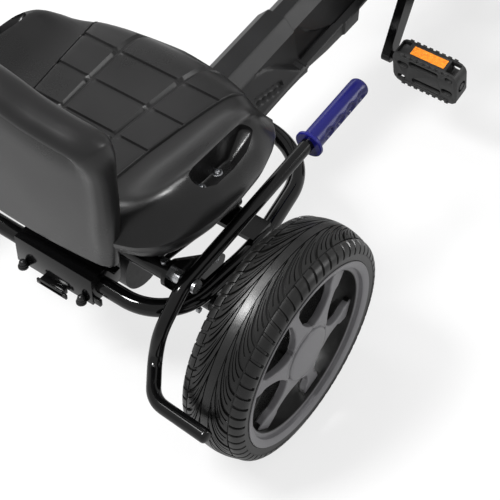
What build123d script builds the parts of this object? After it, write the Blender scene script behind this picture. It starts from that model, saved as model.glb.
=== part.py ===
from build123d import *
import math
import os

# Pedal go-kart for a child, in millimetres. Pieces are drawn with X to the rider's right,
# Y ahead of the rear axle and Z up from the ground. At the end they are turned so that the
# nose points to -Y, and the origin is under the middle of the whole kart.

# Wheels
wheel_radius = 140.0
wheelbase = 800.0
track_half = 259.0
tyre_half_width = 38.5
tyre_bulge_radius = 118.0
shoulder_radius = 134.5
shoulder_half = 26.5
bead_radius = 113.0
rim_seat_radius = 104.0
rim_inner_radius = 98.5
rim_half_width = 39.0
rim_flange = 3.0
spoke_count = 6
spoke_turn = 17.0
web_outer = 32.0
web_dish = 7.0
web_thickness = 9.0
spoke_neck_radius = 62.0
spoke_neck_half = 6.5
spoke_foot_half = 15.0
spoke_pad_half = 14.0
web_hub_radius = 38.0
hub_radius = 17.0
hub_half = 30.0
cap_radius = 34.7
cap_depth = 1.2
cap_dome = 1.5
running_gap = 0.05

# Rear axle and the plates that carry it
axle_radius = 6.0
axle_end_inset = 2.0
plate_inner = 146.5
plate_thickness = 5.0
plate_lobe = 16.0
bearing_radius = 14.0
bearing_length = 22.0
plate_front_ahead = 30.0

# Seat loop, a bent tube under the seat
loop_radius = 10.5
loop_height = 165.0
loop_rear = -74.0
loop_rear_half = 162.0
loop_rear_corner = 63.0
loop_side_half = 170.0
loop_side_ahead = 75.0
loop_side_bend = 300.0
loop_front_half = 138.0
loop_front = 242.0
loop_front_corner = 95.0

# Middle beam
beam_width = 40.0
beam_depth = 28.0
beam_rise_ahead = 160.0
beam_slope = 9.4
beam_peak_ahead = 545.0
beam_foot_ahead = 690.0
beam_foot_height = 145.0
beam_axle_gap = 1.0

# Brake lever and the cross tube that it turns on
pivot_ahead = -51.0
pivot_rise = 53.5
pivot_tube_radius = 11.5
pivot_bolt_radius = 4.0
pivot_head_radius = 8.0
pivot_head_length = 3.5
lever_radius = 8.0
lever_inset = 13.0
lever_rise = 8.6
lever_offset = 2.5
lever_bend_ahead = -62.0
lever_bend = 22.0
grip_start_ahead = 168.0
grip_length = 107.0
grip_radius = 12.5
grip_flange_radius = 17.5
grip_flange_length = 5.0
grip_end_wall = 4.0
# Brake tail: outward from the lever, ahead, height, bend radius
brake_tail = [
    (0.0, -100.0, 184.0, 60.0),
    (0.0, -110.0, 147.0, 18.0),
    (29.0, -149.0, 143.0, 34.0),
]
tail_end_out = 13.0
tail_end_height = 150.0
brake_gap = 8.0

# Seat carriers
crossbar_ahead = 84.0
crossbar_width = 34.0
crossbar_thickness = 6.0
rail_across = 122.0
rail_radius = 8.0
rail_drop = 4.0
post_across = 104.0
post_radius = 9.0

# Seat shell
seat_half = 184.0
seat_front = 163.0
seat_rear = -92.0
seat_thickness = 90.0
seat_wing_rise = 23.0
seat_wing_drop = 40.0
seat_skirt_rise = 30.0
# How far each edge of the seat stands in from its widest line
seat_tile_inset = 88.0
seat_wing_inner_inset = 54.0
seat_wing_outer_inset = 30.0
seat_skirt_inset = 23.0
seat_foot_inset = 60.0
# Seat plan, right half: in from the widest line, ahead of the rear axle
seat_plan = [
    (119.0, 155.0),
    (63.0, 133.0),
    (38.0, 129.0),
    (18.0, 106.0),
    (4.0, 68.0),
    (0.0, 28.0),
    (1.0, -10.0),
    (7.0, -40.0),
    (19.0, -68.0),
    (38.0, -88.0),
    (58.0, -98.0),
]
back_rise = 283.0
back_side_inset = 34.0
back_foot_inset = 86.0
back_curve = 800.0
back_thickness = 26.0
back_recline = 13.0
# The back's shoulder: corner inset, corner drop, arc inset, arc drop, side drop
back_corner = (16.0, 35.0)
back_arc = (4.0, 46.0)
back_side_drop = 63.0
slot_inset = 25.0
slot_ahead = 25.0
slot_length = 98.0
slot_width = 26.0
slot_turn = 5.0
slot_depth = 30.0

# Rear clamp over the loop's rear run
clamp_half = 56.0
clamp_middle = 14.0
clamp_rise = 7.0
clamp_wall = 4.0
clamp_reach = 44.0
clamp_skirt = 147.0
clamp_gap = 3.5
knob_across = 43.0
knob_radius = 6.0
knob_length = 9.0
tab_half = 22.0
tab_depth = 9.0
tab_reach = 7.0

# Fairing over the beam: half width, drop below the ridge
fairing_profile = [
    (0.0, 0.0),
    (12.5, 0.0),
    (28.0, 16.5),
    (36.0, 48.0),
    (42.0, 58.0),
    (50.0, 62.0),
    (52.0, 66.0),
    (52.0, 84.0),
]
fairing_wall = 3.0
ridge_rise = 65.0
ridge_ahead = 251.0
fairing_start = 132.0
fairing_step_ahead = 366.0
fairing_end = 590.0
skirt_ahead = 472.0
skirt_drop = 16.0
fairing_overlap = 18.0
fairing_step = 4.0
fairing_rib = 4.0
rib_inset = 30.0
tube_notch_gap = 1.5

# Chain case on the right
case_inner = 53.0
case_outer = 70.0
case_rear_radius = 37.0
case_front_ahead = 165.0
case_front_drop = 10.0
case_front_radius = 15.0
case_lug_ahead = 118.0
case_lug_width = 20.0
case_lug_height = 14.0
cover_radius = 34.0
cover_outer = 62.0
case_axle_gap = 5.0

# Cranks and pedals
crank_ahead = 513.0
crank_rise = 23.06
crank_length = 100.0
crank_turn = 21.7
crank_spindle_radius = 9.0
bracket_radius = 20.0
arm_inner = 93.0
arm_thickness = 12.0
arm_hub_radius = 14.0
arm_end_radius = 11.0
pedal_inner = 113.0
pedal_length = 97.0
pedal_height = 60.0
pedal_tilt = 15.0
pedal_thickness = 25.0
pedal_corner = 12.0
pedal_spindle_radius = 5.0
pedal_barrel_radius = 10.0
pedal_rail = 9.0
reflector_length = 50.0
reflector_height = 14.0
reflector_depth = 3.0

# Front axle and steering
crossbeam_radius = 15.0
kingpin_across = 195.0
kingpin_radius = 6.0
eye_radius = 12.0
eye_length = 44.0
fork_gap = 0.5
fork_thickness = 5.0
fork_half = 13.0
fork_web_gap = 2.0
steer_arm_length = 50.0
steer_arm_width = 14.0
rod_height = 178.0
rod_radius = 5.0
rod_eye_radius = 7.0
rod_eye_length = 12.0
rod_pin_across = 14.0
rod_pin_radius = 3.0
rest_gap = 0.3
rod_fall = 1.7
wheel_centre_ahead = 400.0
wheel_centre_height = 522.0
column_radius = 9.0
sleeve_wall = 4.5
sleeve_length = 32.0
sleeve_rise = 14.0
cheek_across = 38.0
cheek_radius = 12.0
support_gap = 97.0
support_radius = 10.0
steering_radius = 140.0
steering_grip = 11.0
steering_hub_radius = 30.0
steering_hub_depth = 16.0
steering_spoke_width = 26.0
steering_spoke_depth = 8.0
steering_spoke_turns = (0.0, 180.0, 270.0)
pad_radius = 42.0
pad_depth = 14.0

# Nose
bumper_ahead = 962.0
bumper_half = 138.0
bumper_radius = 13.0
bumper_corner = 60.0
bumper_height = 140.0
bumper_strut_across = 70.0
nose_half = 112.0
nose_start = 822.0
nose_end = 942.0
nose_top = 232.0
nose_front_top = 176.0
nose_wall = 3.0

axle_height = wheel_radius
pivot_height = loop_height + pivot_rise
seat_bottom = pivot_height + pivot_tube_radius
seat_top = seat_bottom + seat_thickness
seat_wing_top = seat_top + seat_wing_rise
seat_skirt_height = seat_bottom + seat_skirt_rise
seat_wing_inner = seat_half - seat_wing_inner_inset
seat_wing_outer = seat_half - seat_wing_outer_inset
back_top = seat_bottom + back_rise
back_half = seat_half - back_side_inset
lever_across = seat_half - lever_inset
tail_end_across = track_half + tail_end_out
ridge_height = loop_height + ridge_rise
case_front_height = loop_height - case_front_drop
tail_distance = wheel_radius + lever_radius + brake_gap
tail_ahead = -math.sqrt(tail_distance**2 - (tail_end_height - axle_height) ** 2)

# The rearmost point is the end of the brake's tail and the foremost is the bumper.
rear_reach = lever_radius - tail_ahead
front_reach = bumper_ahead + bumper_radius
rear_axle_y = (front_reach - rear_reach) / 2

front_axle = wheelbase
loop_top = loop_height + loop_radius
beam_top = loop_top
beam_middle = beam_top - beam_depth / 2
slope = math.tan(math.radians(beam_slope))
beam_peak_height = beam_middle + (beam_peak_ahead - beam_rise_ahead) * slope
crossbar_top = loop_top + crossbar_thickness
crank_height = beam_middle + (crank_ahead - beam_rise_ahead) * slope + crank_rise
support_ahead = crank_ahead + support_gap
fork_half_height = eye_length / 2 + fork_gap
arm_top = axle_height + fork_half_height + fork_thickness


def along_x(start, end, ahead, height, radius):
    length = end - start
    middle = (start + end) / 2
    return Pos(middle, ahead, height) * Rot(0, 90, 0) * Cylinder(radius, length)


def upright(across, ahead, low, high, radius):
    return Pos(across, ahead, (low + high) / 2) * Cylinder(radius, high - low)


def block(x_range, y_range, z_range):
    middle = [(low + high) / 2 for low, high in (x_range, y_range, z_range)]
    size = [high - low for low, high in (x_range, y_range, z_range)]
    return Pos(*middle) * Box(*size)


def side_plate(outline, start, end):
    # The outline is drawn with ahead and height, and the plate is as thick as start to end.
    face = Plane.YZ.offset(start) * outline
    return extrude(face, amount=end - start)


def rod(path, radius):
    ring = Plane(origin=path @ 0, z_dir=path % 0) * Circle(radius)
    return sweep(ring, path=path)


def mirrored(piece):
    return mirror(piece, about=Plane.YZ)


def hull_of_circles(circles):
    # Each circle has ahead, height and radius.
    return make_hull(sum((Pos(a, h) * Circle(r) for a, h, r in circles), Sketch()).edges())


def make_tyre():
    bead_half = rim_half_width - rim_flange
    bead = Line((bead_half, rim_seat_radius), (bead_half, bead_radius))
    wall = ThreePointArc(
        (bead_half, bead_radius),
        (tyre_half_width, tyre_bulge_radius),
        (shoulder_half, shoulder_radius),
    )
    crown = ThreePointArc(
        (shoulder_half, shoulder_radius), (0, wheel_radius), (-shoulder_half, shoulder_radius)
    )
    far_wall = ThreePointArc(
        (-shoulder_half, shoulder_radius),
        (-tyre_half_width, tyre_bulge_radius),
        (-bead_half, bead_radius),
    )
    far_bead = Line((-bead_half, bead_radius), (-bead_half, rim_seat_radius))
    seat = Line((-bead_half, rim_seat_radius), (bead_half, rim_seat_radius))
    face = make_face([bead, wall, crown, far_wall, far_bead, seat])
    return revolve(Plane.XZ * face, Axis.X, 360)


def make_spoke():
    points = [
        (0.0, spoke_foot_half),
        (web_hub_radius, spoke_foot_half),
        (spoke_neck_radius, spoke_neck_half),
        (rim_seat_radius, spoke_pad_half),
        (rim_seat_radius, -spoke_pad_half),
        (spoke_neck_radius, -spoke_neck_half),
        (web_hub_radius, -spoke_foot_half),
        (0.0, -spoke_foot_half),
    ]
    return make_face(Polyline(*points, close=True))


def make_rim(bore):
    ring_face = Plane.XZ * make_face(
        Polyline(
            (-rim_half_width, rim_inner_radius),
            (rim_half_width, rim_inner_radius),
            (rim_half_width, bead_radius),
            (rim_half_width - rim_flange, bead_radius),
            (rim_half_width - rim_flange, rim_seat_radius),
            (-rim_half_width + rim_flange, rim_seat_radius),
            (-rim_half_width + rim_flange, bead_radius),
            (-rim_half_width, bead_radius),
            close=True,
        )
    )
    ring = revolve(ring_face, Axis.X, 360)
    web = Circle(web_hub_radius)
    for number in range(spoke_count):
        web += Rot(0, 0, spoke_turn + number * 360 / spoke_count) * make_spoke()
    web_radius = rim_inner_radius + running_gap
    web = web & Circle(web_radius)
    # The web is dished: its face steps in from the hub to the rim.
    dish = make_face(
        Polyline(
            (web_outer, 0),
            (web_outer, web_hub_radius),
            (web_outer - web_dish, web_radius),
            (web_outer - web_dish - web_thickness, web_radius),
            (web_outer - web_thickness, web_hub_radius),
            (web_outer - web_thickness, 0),
            close=True,
        )
    )
    plate = side_plate(web, -rim_half_width, rim_half_width) & revolve(Plane.XZ * dish, Axis.X, 360)
    hub = along_x(-hub_half, web_outer, 0, 0, hub_radius)
    hole = along_x(-hub_half - 1, web_outer + 1, 0, 0, bore)
    return ring + plate + hub - hole


def make_cap():
    # A disc with a shallow dome.
    end = web_outer + cap_depth + cap_dome
    dome_radius = (cap_radius**2 + cap_dome**2) / (2 * cap_dome)
    return along_x(web_outer, end, 0, 0, cap_radius) & Pos(end - dome_radius, 0, 0) * Sphere(dome_radius)


def loop_path():
    points = [
        (beam_width / 2, loop_front, loop_height),
        (loop_front_half, loop_front, loop_height),
        (loop_side_half, loop_side_ahead, loop_height),
        (loop_rear_half, loop_rear, loop_height),
        (-loop_rear_half, loop_rear, loop_height),
        (-loop_side_half, loop_side_ahead, loop_height),
        (-loop_front_half, loop_front, loop_height),
        (-beam_width / 2, loop_front, loop_height),
    ]
    corners = [loop_front_corner, loop_side_bend, loop_rear_corner]
    return FilletPolyline(*points, radius=corners + corners[::-1])


def make_beam():
    line = [
        (loop_rear, beam_middle),
        (beam_rise_ahead, beam_middle),
        (beam_peak_ahead, beam_peak_height),
        (beam_foot_ahead, beam_foot_height),
        (front_axle, axle_height),
    ]
    top = [(a, h + beam_depth / 2) for a, h in line]
    bottom = [(a, h - beam_depth / 2) for a, h in reversed(line)]
    beam = side_plate(make_face(Polyline(*top, *bottom, close=True)), -beam_width / 2, beam_width / 2)
    beam -= along_x(-beam_width, beam_width, front_axle, axle_height, crossbeam_radius)
    beam -= block((-beam_width, beam_width), (front_axle, front_axle + beam_depth), (0, front_axle))
    beam -= along_x(-beam_width, beam_width, loop_rear, loop_height, loop_radius)
    beam -= block(
        (-beam_width, beam_width), (loop_rear - loop_radius, loop_rear), (0, loop_top + 1)
    )
    beam -= along_x(-beam_width, beam_width, 0, axle_height, axle_radius + beam_axle_gap)
    return beam - along_x(-beam_width, beam_width, crank_ahead, crank_height, bracket_radius)


def make_plate(loop):
    outline = hull_of_circles(
        [
            (0, axle_height, plate_lobe),
            (pivot_ahead, pivot_height, plate_lobe),
            (plate_front_ahead, loop_height, loop_radius),
        ]
    )
    plate = side_plate(outline, plate_inner, plate_inner + plate_thickness)
    plate += along_x(plate_inner, plate_inner + bearing_length, 0, axle_height, bearing_radius)
    plate -= along_x(0, track_half, 0, axle_height, axle_radius + running_gap)
    plate -= along_x(0, track_half, pivot_ahead, pivot_height, pivot_bolt_radius)
    return plate - loop


def lever_point(ahead):
    # Height of the lever's straight middle line, which passes just over its pivot.
    return pivot_height + lever_offset + (ahead - pivot_ahead) * math.tan(math.radians(lever_rise))


def make_lever():
    grip_end = grip_start_ahead + (grip_length - grip_end_wall) * math.cos(math.radians(lever_rise))
    points = [
        (lever_across, grip_end, lever_point(grip_end)),
        (lever_across, lever_bend_ahead, lever_point(lever_bend_ahead)),
    ]
    points += [(lever_across + out, ahead, height) for out, ahead, height, bend in brake_tail]
    points.append((tail_end_across, tail_ahead, tail_end_height))
    bends = [lever_bend] + [bend for out, ahead, height, bend in brake_tail]
    path = FilletPolyline(*points, radius=bends)
    lever = rod(path, lever_radius)
    hole_radius = pivot_bolt_radius + running_gap
    start = lever_across - 2 * lever_radius
    end = lever_across + 2 * lever_radius
    return lever - along_x(start, end, pivot_ahead, pivot_height, hole_radius)


def make_pivot_bolt():
    start = plate_inner
    end = lever_across + lever_radius + rest_gap
    bolt = along_x(start, end, pivot_ahead, pivot_height, pivot_bolt_radius)
    nut_end = lever_across - lever_radius - rest_gap
    nut_start = plate_inner + plate_thickness
    bolt += along_x(nut_start, nut_end, pivot_ahead, pivot_height, pivot_head_radius)
    return bolt + along_x(end, end + pivot_head_length, pivot_ahead, pivot_height, pivot_head_radius)


def make_grip():
    start = Vector(lever_across, grip_start_ahead, lever_point(grip_start_ahead))
    direction = Vector(0, math.cos(math.radians(lever_rise)), math.sin(math.radians(lever_rise)))
    place = Plane(origin=start, x_dir=(1, 0, 0), z_dir=direction)
    bottom = (Align.CENTER, Align.CENTER, Align.MIN)
    grip = Cylinder(grip_radius, grip_length, align=bottom)
    grip += Cylinder(grip_flange_radius, grip_flange_length, align=bottom)
    grip -= Cylinder(lever_radius, grip_length - grip_end_wall, align=bottom)
    return place * grip


def seat_outline():
    right = [(seat_half - inset, ahead) for inset, ahead in seat_plan]
    left = [(-x, y) for x, y in reversed(right)]
    return make_face(Polyline((0, seat_front), *right, (0, seat_rear), *left, close=True))


def seat_section():
    half = [
        (0, seat_top),
        (seat_half - seat_tile_inset, seat_top),
        (seat_wing_inner, seat_wing_top),
        (seat_wing_outer, seat_wing_top),
        (seat_half, seat_wing_top - seat_wing_drop),
        (seat_half - seat_skirt_inset, seat_skirt_height),
        (seat_half - seat_foot_inset, seat_bottom),
        (0, seat_bottom),
    ]
    left = [(-x, z) for x, z in reversed(half[1:-1])]
    return make_face(Polyline(*half, *left, close=True))


def back_outline():
    corner = (back_half - back_corner[0], back_top - back_corner[1])
    arc = (back_half - back_arc[0], back_top - back_arc[1])
    side = (back_half, back_top - back_side_drop)
    foot = (seat_half - back_foot_inset, seat_bottom)
    far_corner, far_arc, far_side, far_foot = [(-x, z) for x, z in (corner, arc, side, foot)]
    return make_face(
        [
            Line(far_foot, foot),
            Line(foot, side),
            ThreePointArc(side, arc, corner),
            ThreePointArc(corner, (0, back_top), far_corner),
            ThreePointArc(far_corner, far_arc, far_side),
            Line(far_side, far_foot),
        ]
    )


def make_back():
    # A curved wall leaning back, as wide as the front outline at each height.
    wall = Pos(0, back_curve) * (Circle(back_curve) - Circle(back_curve - back_thickness))
    wall = wall & Pos(0, back_curve / 4) * Rectangle(2 * back_curve, back_curve / 2)
    lean = math.radians(back_recline)
    foot = Pos(0, seat_rear, seat_bottom) * wall
    back = extrude(foot, amount=back_rise / math.cos(lean), dir=(0, -math.tan(lean), 1))
    return back & extrude(Plane.XZ.offset(-back_curve) * back_outline(), amount=2 * back_curve)


def make_seat():
    plan = Pos(0, 0, seat_bottom) * extrude(seat_outline(), amount=back_top)
    reach = 2 * seat_front
    section = extrude(Plane.XZ.offset(-reach) * seat_section(), amount=2 * reach)
    seat = (plan & section) + make_back()
    for side in (1, -1):
        slot = Rot(0, 0, 90 + side * slot_turn) * SlotOverall(slot_length, slot_width)
        place = Pos(side * (seat_half - slot_inset), slot_ahead, seat_wing_top - slot_depth)
        seat -= place * extrude(slot, amount=back_rise)
    return seat


def make_rails(pivot_tube):
    path = Line(
        (rail_across, pivot_ahead, pivot_height - rail_drop),
        (rail_across, crossbar_ahead + crossbar_width / 2, crossbar_top + rail_radius),
    )
    return rod(path, rail_radius) - pivot_tube


def make_clamp():
    rear = loop_rear - loop_radius - clamp_gap
    front = rear + clamp_reach
    back_face = rear - clamp_wall
    roof = loop_top + clamp_rise
    roof_top = roof + clamp_wall
    clamp = block((-clamp_half, clamp_half), (back_face, front), (roof, roof_top))
    clamp += block((-clamp_half, clamp_half), (back_face, rear), (clamp_skirt, roof_top))
    for side in (1, -1):
        edges = sorted((side * (clamp_half - clamp_wall), side * clamp_half))
        clamp += block(edges, (back_face, front), (loop_height, roof_top))
    clamp += block(
        (-tab_half, tab_half), (back_face - tab_reach, rear), (clamp_skirt - tab_depth, clamp_skirt)
    )
    clamp -= along_x(-2 * clamp_half, 2 * clamp_half, loop_rear, loop_height, loop_radius)
    return Pos(clamp_middle, 0, 0) * clamp


def make_knobs():
    rear = loop_rear - loop_radius - clamp_gap - clamp_wall
    knobs = []
    for side in (1, -1):
        across = clamp_middle + side * knob_across
        place = Pos(across, rear - knob_length / 2, clamp_skirt + knob_radius)
        knobs.append(place * Rot(90, 0, 0) * Cylinder(knob_radius, knob_length))
    return Compound(children=knobs)


def fairing_face(inset):
    half = []
    for number, (across, drop) in enumerate(fairing_profile):
        low = number == len(fairing_profile) - 1
        half.append((max(across - inset, 0), -drop - (0 if low else inset)))
    left = [(-x, z) for x, z in reversed(half[1:])]
    return make_face(Polyline(*half, *left, close=True))


def make_skirts(place, start, end):
    # Both lower edges hang deeper towards the front.
    edge, drop = fairing_profile[-1]
    skirts = Part()
    for side in (1, -1):
        middle = side * (edge - fairing_step - fairing_wall / 2)
        strip = Pos(middle, -drop - skirt_drop / 2) * Rectangle(fairing_wall, skirt_drop + 2 * fairing_wall)
        skirts += extrude(place.offset(start) * strip, amount=end - start)
    return skirts


def make_fairing(start, end, shrink, ribs):
    outer = fairing_face(shrink)
    inner = fairing_face(shrink + fairing_wall)
    height = ridge_height + (start - ridge_ahead) * slope
    length = (end - start) / math.cos(math.radians(beam_slope))
    direction = (0, math.cos(math.radians(beam_slope)), math.sin(math.radians(beam_slope)))
    place = Plane(origin=(0, start, height), x_dir=(-1, 0, 0), z_dir=direction)
    shell = extrude(place * outer, amount=length) - extrude(place * inner, amount=length)
    for ahead in ribs:
        offset = (ahead - start) / math.cos(math.radians(beam_slope))
        shell += extrude(place.offset(offset) * inner, amount=fairing_rib)
    if end > skirt_ahead:
        shell += make_skirts(place, (skirt_ahead - start) / math.cos(math.radians(beam_slope)), length)
    shell -= make_beam()
    shell -= rod(loop_path(), loop_radius + tube_notch_gap)
    shell -= post_tube(tube_notch_gap)
    shell -= along_x(-case_outer, case_outer, crank_ahead, crank_height, bracket_radius + tube_notch_gap)
    return shell


def make_case():
    outline = hull_of_circles(
        [(0, axle_height, case_rear_radius), (case_front_ahead, case_front_height, case_front_radius)]
    )
    case = side_plate(outline, case_inner, case_outer)
    case += block(
        (beam_width / 2, case_inner),
        (case_lug_ahead - case_lug_width / 2, case_lug_ahead + case_lug_width / 2),
        (beam_middle - case_lug_height / 2, beam_middle + case_lug_height / 2),
    )
    return case - along_x(0, track_half, 0, axle_height, axle_radius + case_axle_gap)


def make_cover():
    cover = along_x(case_inner, cover_outer, crank_ahead, crank_height, cover_radius)
    return cover - along_x(0, track_half, crank_ahead, crank_height, crank_spindle_radius + case_axle_gap)


def crank_end(side):
    turn = math.radians(crank_turn)
    ahead = crank_ahead - side * crank_length * math.sin(turn)
    height = crank_height - side * crank_length * math.cos(turn)
    return ahead, height


def make_crankset():
    crank = along_x(-arm_inner, arm_inner, crank_ahead, crank_height, crank_spindle_radius)
    for side in (1, -1):
        ahead, height = crank_end(side)
        outline = hull_of_circles(
            [(crank_ahead, crank_height, arm_hub_radius), (ahead, height, arm_end_radius)]
        )
        inner = side * arm_inner
        outer = side * (arm_inner + arm_thickness)
        crank += side_plate(outline, min(inner, outer), max(inner, outer))
        end = side * (pedal_inner + pedal_length - 6)
        crank += along_x(min(outer, end), max(outer, end), ahead, height, pedal_spindle_radius)
    return crank


def make_pedal(side):
    ahead, height = crank_end(side)
    outer = RectangleRounded(pedal_length, pedal_height, pedal_corner)
    body = extrude(outer, amount=pedal_thickness / 2, both=True)
    window_height = pedal_height / 2 - pedal_rail - pedal_barrel_radius
    window_length = pedal_length - 2 * pedal_rail
    middle = pedal_barrel_radius + window_height / 2
    for step in (1, -1):
        window = Pos(0, step * middle) * RectangleRounded(window_length, window_height, window_height / 3)
        body -= extrude(window, amount=pedal_thickness, both=True)
    for step in (1, -1):
        pocket = Pos(0, step * pedal_height / 2, 0) * Box(
            reflector_length, 2 * reflector_depth, reflector_height
        )
        body -= pocket
    body -= Rot(0, 90, 0) * Cylinder(pedal_spindle_radius + running_gap, pedal_length + 2)
    place = Pos(side * (pedal_inner + pedal_length / 2), ahead, height) * Rot(90 + pedal_tilt, 0, 0)
    return place * body


def make_reflectors(side):
    ahead, height = crank_end(side)
    middle = Pos(side * (pedal_inner + pedal_length / 2), ahead, height) * Rot(pedal_tilt, 0, 0)
    pair = []
    for step in (1, -1):
        place = middle * Pos(0, 0, step * (pedal_height - reflector_depth) / 2)
        pair.append(place * Box(reflector_length, reflector_height, reflector_depth))
    return Compound(children=pair)


def make_crossbeam():
    beam = along_x(-kingpin_across, kingpin_across, front_axle, axle_height, crossbeam_radius)
    for side in (1, -1):
        low = axle_height - eye_length / 2
        high = axle_height + eye_length / 2
        beam += upright(side * kingpin_across, front_axle, low, high, eye_radius)
    for side in (1, -1):
        across = side * kingpin_across
        beam -= upright(across, front_axle, 0, 2 * axle_height, kingpin_radius + running_gap)
    return beam


def make_knuckle():
    web_inner = kingpin_across + eye_radius + fork_web_gap
    web_outer_face = web_inner + fork_thickness
    low = axle_height - fork_half_height
    high = axle_height + fork_half_height
    y_range = (front_axle - fork_half, front_axle + fork_half)
    knuckle = block((web_inner, web_outer_face), y_range, (low, high))
    for floor in (low - fork_thickness, high):
        x_range = (kingpin_across - eye_radius, web_outer_face)
        knuckle += block(x_range, y_range, (floor, floor + fork_thickness))
    knuckle += upright(kingpin_across, front_axle, low, high, kingpin_radius)
    knuckle += along_x(web_outer_face, track_half + web_outer - 1, front_axle, axle_height, axle_radius)
    half = steer_arm_width / 2
    arm_end = front_axle - steer_arm_length
    knuckle += block(
        (kingpin_across - half, kingpin_across + half), (arm_end, front_axle), (high, arm_top)
    )
    # The rod falls by rod_fall before it rises, as the column turns.
    boss_top = rod_height - rod_eye_length / 2 - rest_gap - rod_fall
    knuckle += upright(kingpin_across, arm_end, high, boss_top, rod_eye_radius)
    return knuckle


# The steering column runs from its crank arm up and back to the steering wheel.
# The arm reaches down and back from the column to the tie rods.
rod_ahead = front_axle - steer_arm_length
column_run = rod_ahead - wheel_centre_ahead
column_climb = wheel_centre_height - rod_height
column_diagonal = math.hypot(column_run, column_climb)
column_turn = math.asin(steer_arm_length / column_diagonal)
column_angle = math.atan2(column_climb, column_run) - column_turn
column_length = column_diagonal * math.cos(column_turn)
column_axis = Vector(0, -math.cos(column_angle), math.sin(column_angle))
arm_axis = Vector(0, math.sin(column_angle), math.cos(column_angle))
column_foot_point = Vector(0, rod_ahead, rod_height) + arm_axis * steer_arm_length
column_plane = Plane(origin=column_foot_point, x_dir=(1, 0, 0), z_dir=column_axis)
wheel_plane = column_plane.offset(column_length)
arm_face = rod_eye_length / 2 + rest_gap


def make_column():
    bottom = (Align.CENTER, Align.CENTER, Align.MIN)
    reach = steer_arm_length
    start = -arm_face - fork_thickness
    column = Pos(0, 0, start) * Cylinder(column_radius, column_length - start, align=bottom)
    # In the column's plane the arm side is the one that faces the rod pins.
    pin_side = 1 if column_plane.y_dir.dot(arm_axis) < 0 else -1
    arm = hull_of_circles(
        [
            (0, 0, column_radius + 3),
            (rod_pin_across, pin_side * reach, rod_eye_radius),
            (-rod_pin_across, pin_side * reach, rod_eye_radius),
        ]
    )
    column += Pos(0, 0, start) * extrude(arm, amount=fork_thickness)
    for side in (1, -1):
        pin = Cylinder(rod_pin_radius, rod_eye_length + arm_face - rod_eye_length / 2, align=bottom)
        column += Pos(side * rod_pin_across, pin_side * reach, start + fork_thickness) * pin
    return column_plane * column


def make_tie_rod():
    shaft_start = rod_pin_across + rod_eye_radius * 0.8
    shaft_end = kingpin_across - rod_eye_radius * 0.8
    rod_piece = along_x(shaft_start, shaft_end, rod_ahead, rod_height, rod_radius)
    inner = Plane(origin=(rod_pin_across, rod_ahead, rod_height), x_dir=(1, 0, 0), z_dir=column_axis)
    rod_piece += inner * Cylinder(rod_eye_radius, rod_eye_length)
    rod_piece += Pos(kingpin_across, rod_ahead, rod_height) * Cylinder(rod_eye_radius, rod_eye_length)
    return rod_piece - inner * Cylinder(rod_pin_radius + running_gap, rod_eye_length + 2)


def make_steering_wheel():
    wheel = Torus(steering_radius, steering_grip)
    wheel += Cylinder(steering_hub_radius, steering_hub_depth)
    for turn in steering_spoke_turns:
        spoke = Pos(steering_radius / 2, 0, 0) * Box(
            steering_radius, steering_spoke_width, steering_spoke_depth
        )
        wheel += Rot(0, 0, turn) * spoke
    wheel -= Pos(0, 0, -steering_hub_depth / 2) * Cylinder(column_radius, steering_hub_depth)
    return wheel_plane * wheel


def make_pad():
    pad = Pos(0, 0, steering_hub_depth / 2 + pad_depth / 2) * Cylinder(pad_radius, pad_depth)
    return wheel_plane * pad


def make_sleeve(rise):
    bottom = (Align.CENTER, Align.CENTER, Align.MIN)
    sleeve = Cylinder(column_radius + sleeve_wall, sleeve_length, align=bottom)
    return column_plane * Pos(0, 0, rise) * sleeve


def column_bore():
    return column_plane * Cylinder(column_radius + running_gap, 4 * column_length)


def make_column_foot():
    # Two cheeks stand on the crossbeam, clear of the arm, and a block between them holds the column.
    middle = column_foot_point + column_axis * (sleeve_rise + sleeve_length / 2)
    outline = hull_of_circles(
        [
            (front_axle, axle_height + crossbeam_radius, cheek_radius),
            (middle.Y, middle.Z, cheek_radius),
        ]
    )
    foot = Part()
    for side in (1, -1):
        near = side * cheek_across
        far = side * (cheek_across + fork_thickness)
        foot += side_plate(outline, min(near, far), max(near, far))
    bridge = Box(
        2 * cheek_across, 2 * cheek_radius, sleeve_length, align=(Align.CENTER, Align.CENTER, Align.MIN)
    )
    foot += column_plane * Pos(0, 0, sleeve_rise) * bridge
    foot -= column_bore()
    return foot - along_x(-track_half, track_half, front_axle, axle_height, crossbeam_radius)


def post_tube(gap):
    reach = (column_foot_point.Y - support_ahead) / math.cos(column_angle)
    centre = column_foot_point + column_axis * reach
    fall = (beam_peak_height - beam_foot_height) / (beam_foot_ahead - beam_peak_ahead)
    low = beam_peak_height - (support_ahead - beam_peak_ahead) * fall
    return upright(0, support_ahead, low, centre.Z, support_radius + gap)


def make_column_support():
    reach = (column_foot_point.Y - support_ahead) / math.cos(column_angle)
    sleeve = make_sleeve(reach - sleeve_length / 2)
    return post_tube(0) + sleeve - column_bore() - make_beam()


def make_bumper():
    path = FilletPolyline(
        (-bumper_strut_across, front_axle, bumper_height),
        (-bumper_half, bumper_ahead, bumper_height),
        (bumper_half, bumper_ahead, bumper_height),
        (bumper_strut_across, front_axle, bumper_height),
        radius=bumper_corner,
    )
    bumper = rod(path, bumper_radius)
    return bumper - along_x(-kingpin_across, kingpin_across, front_axle, axle_height, crossbeam_radius)


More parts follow.
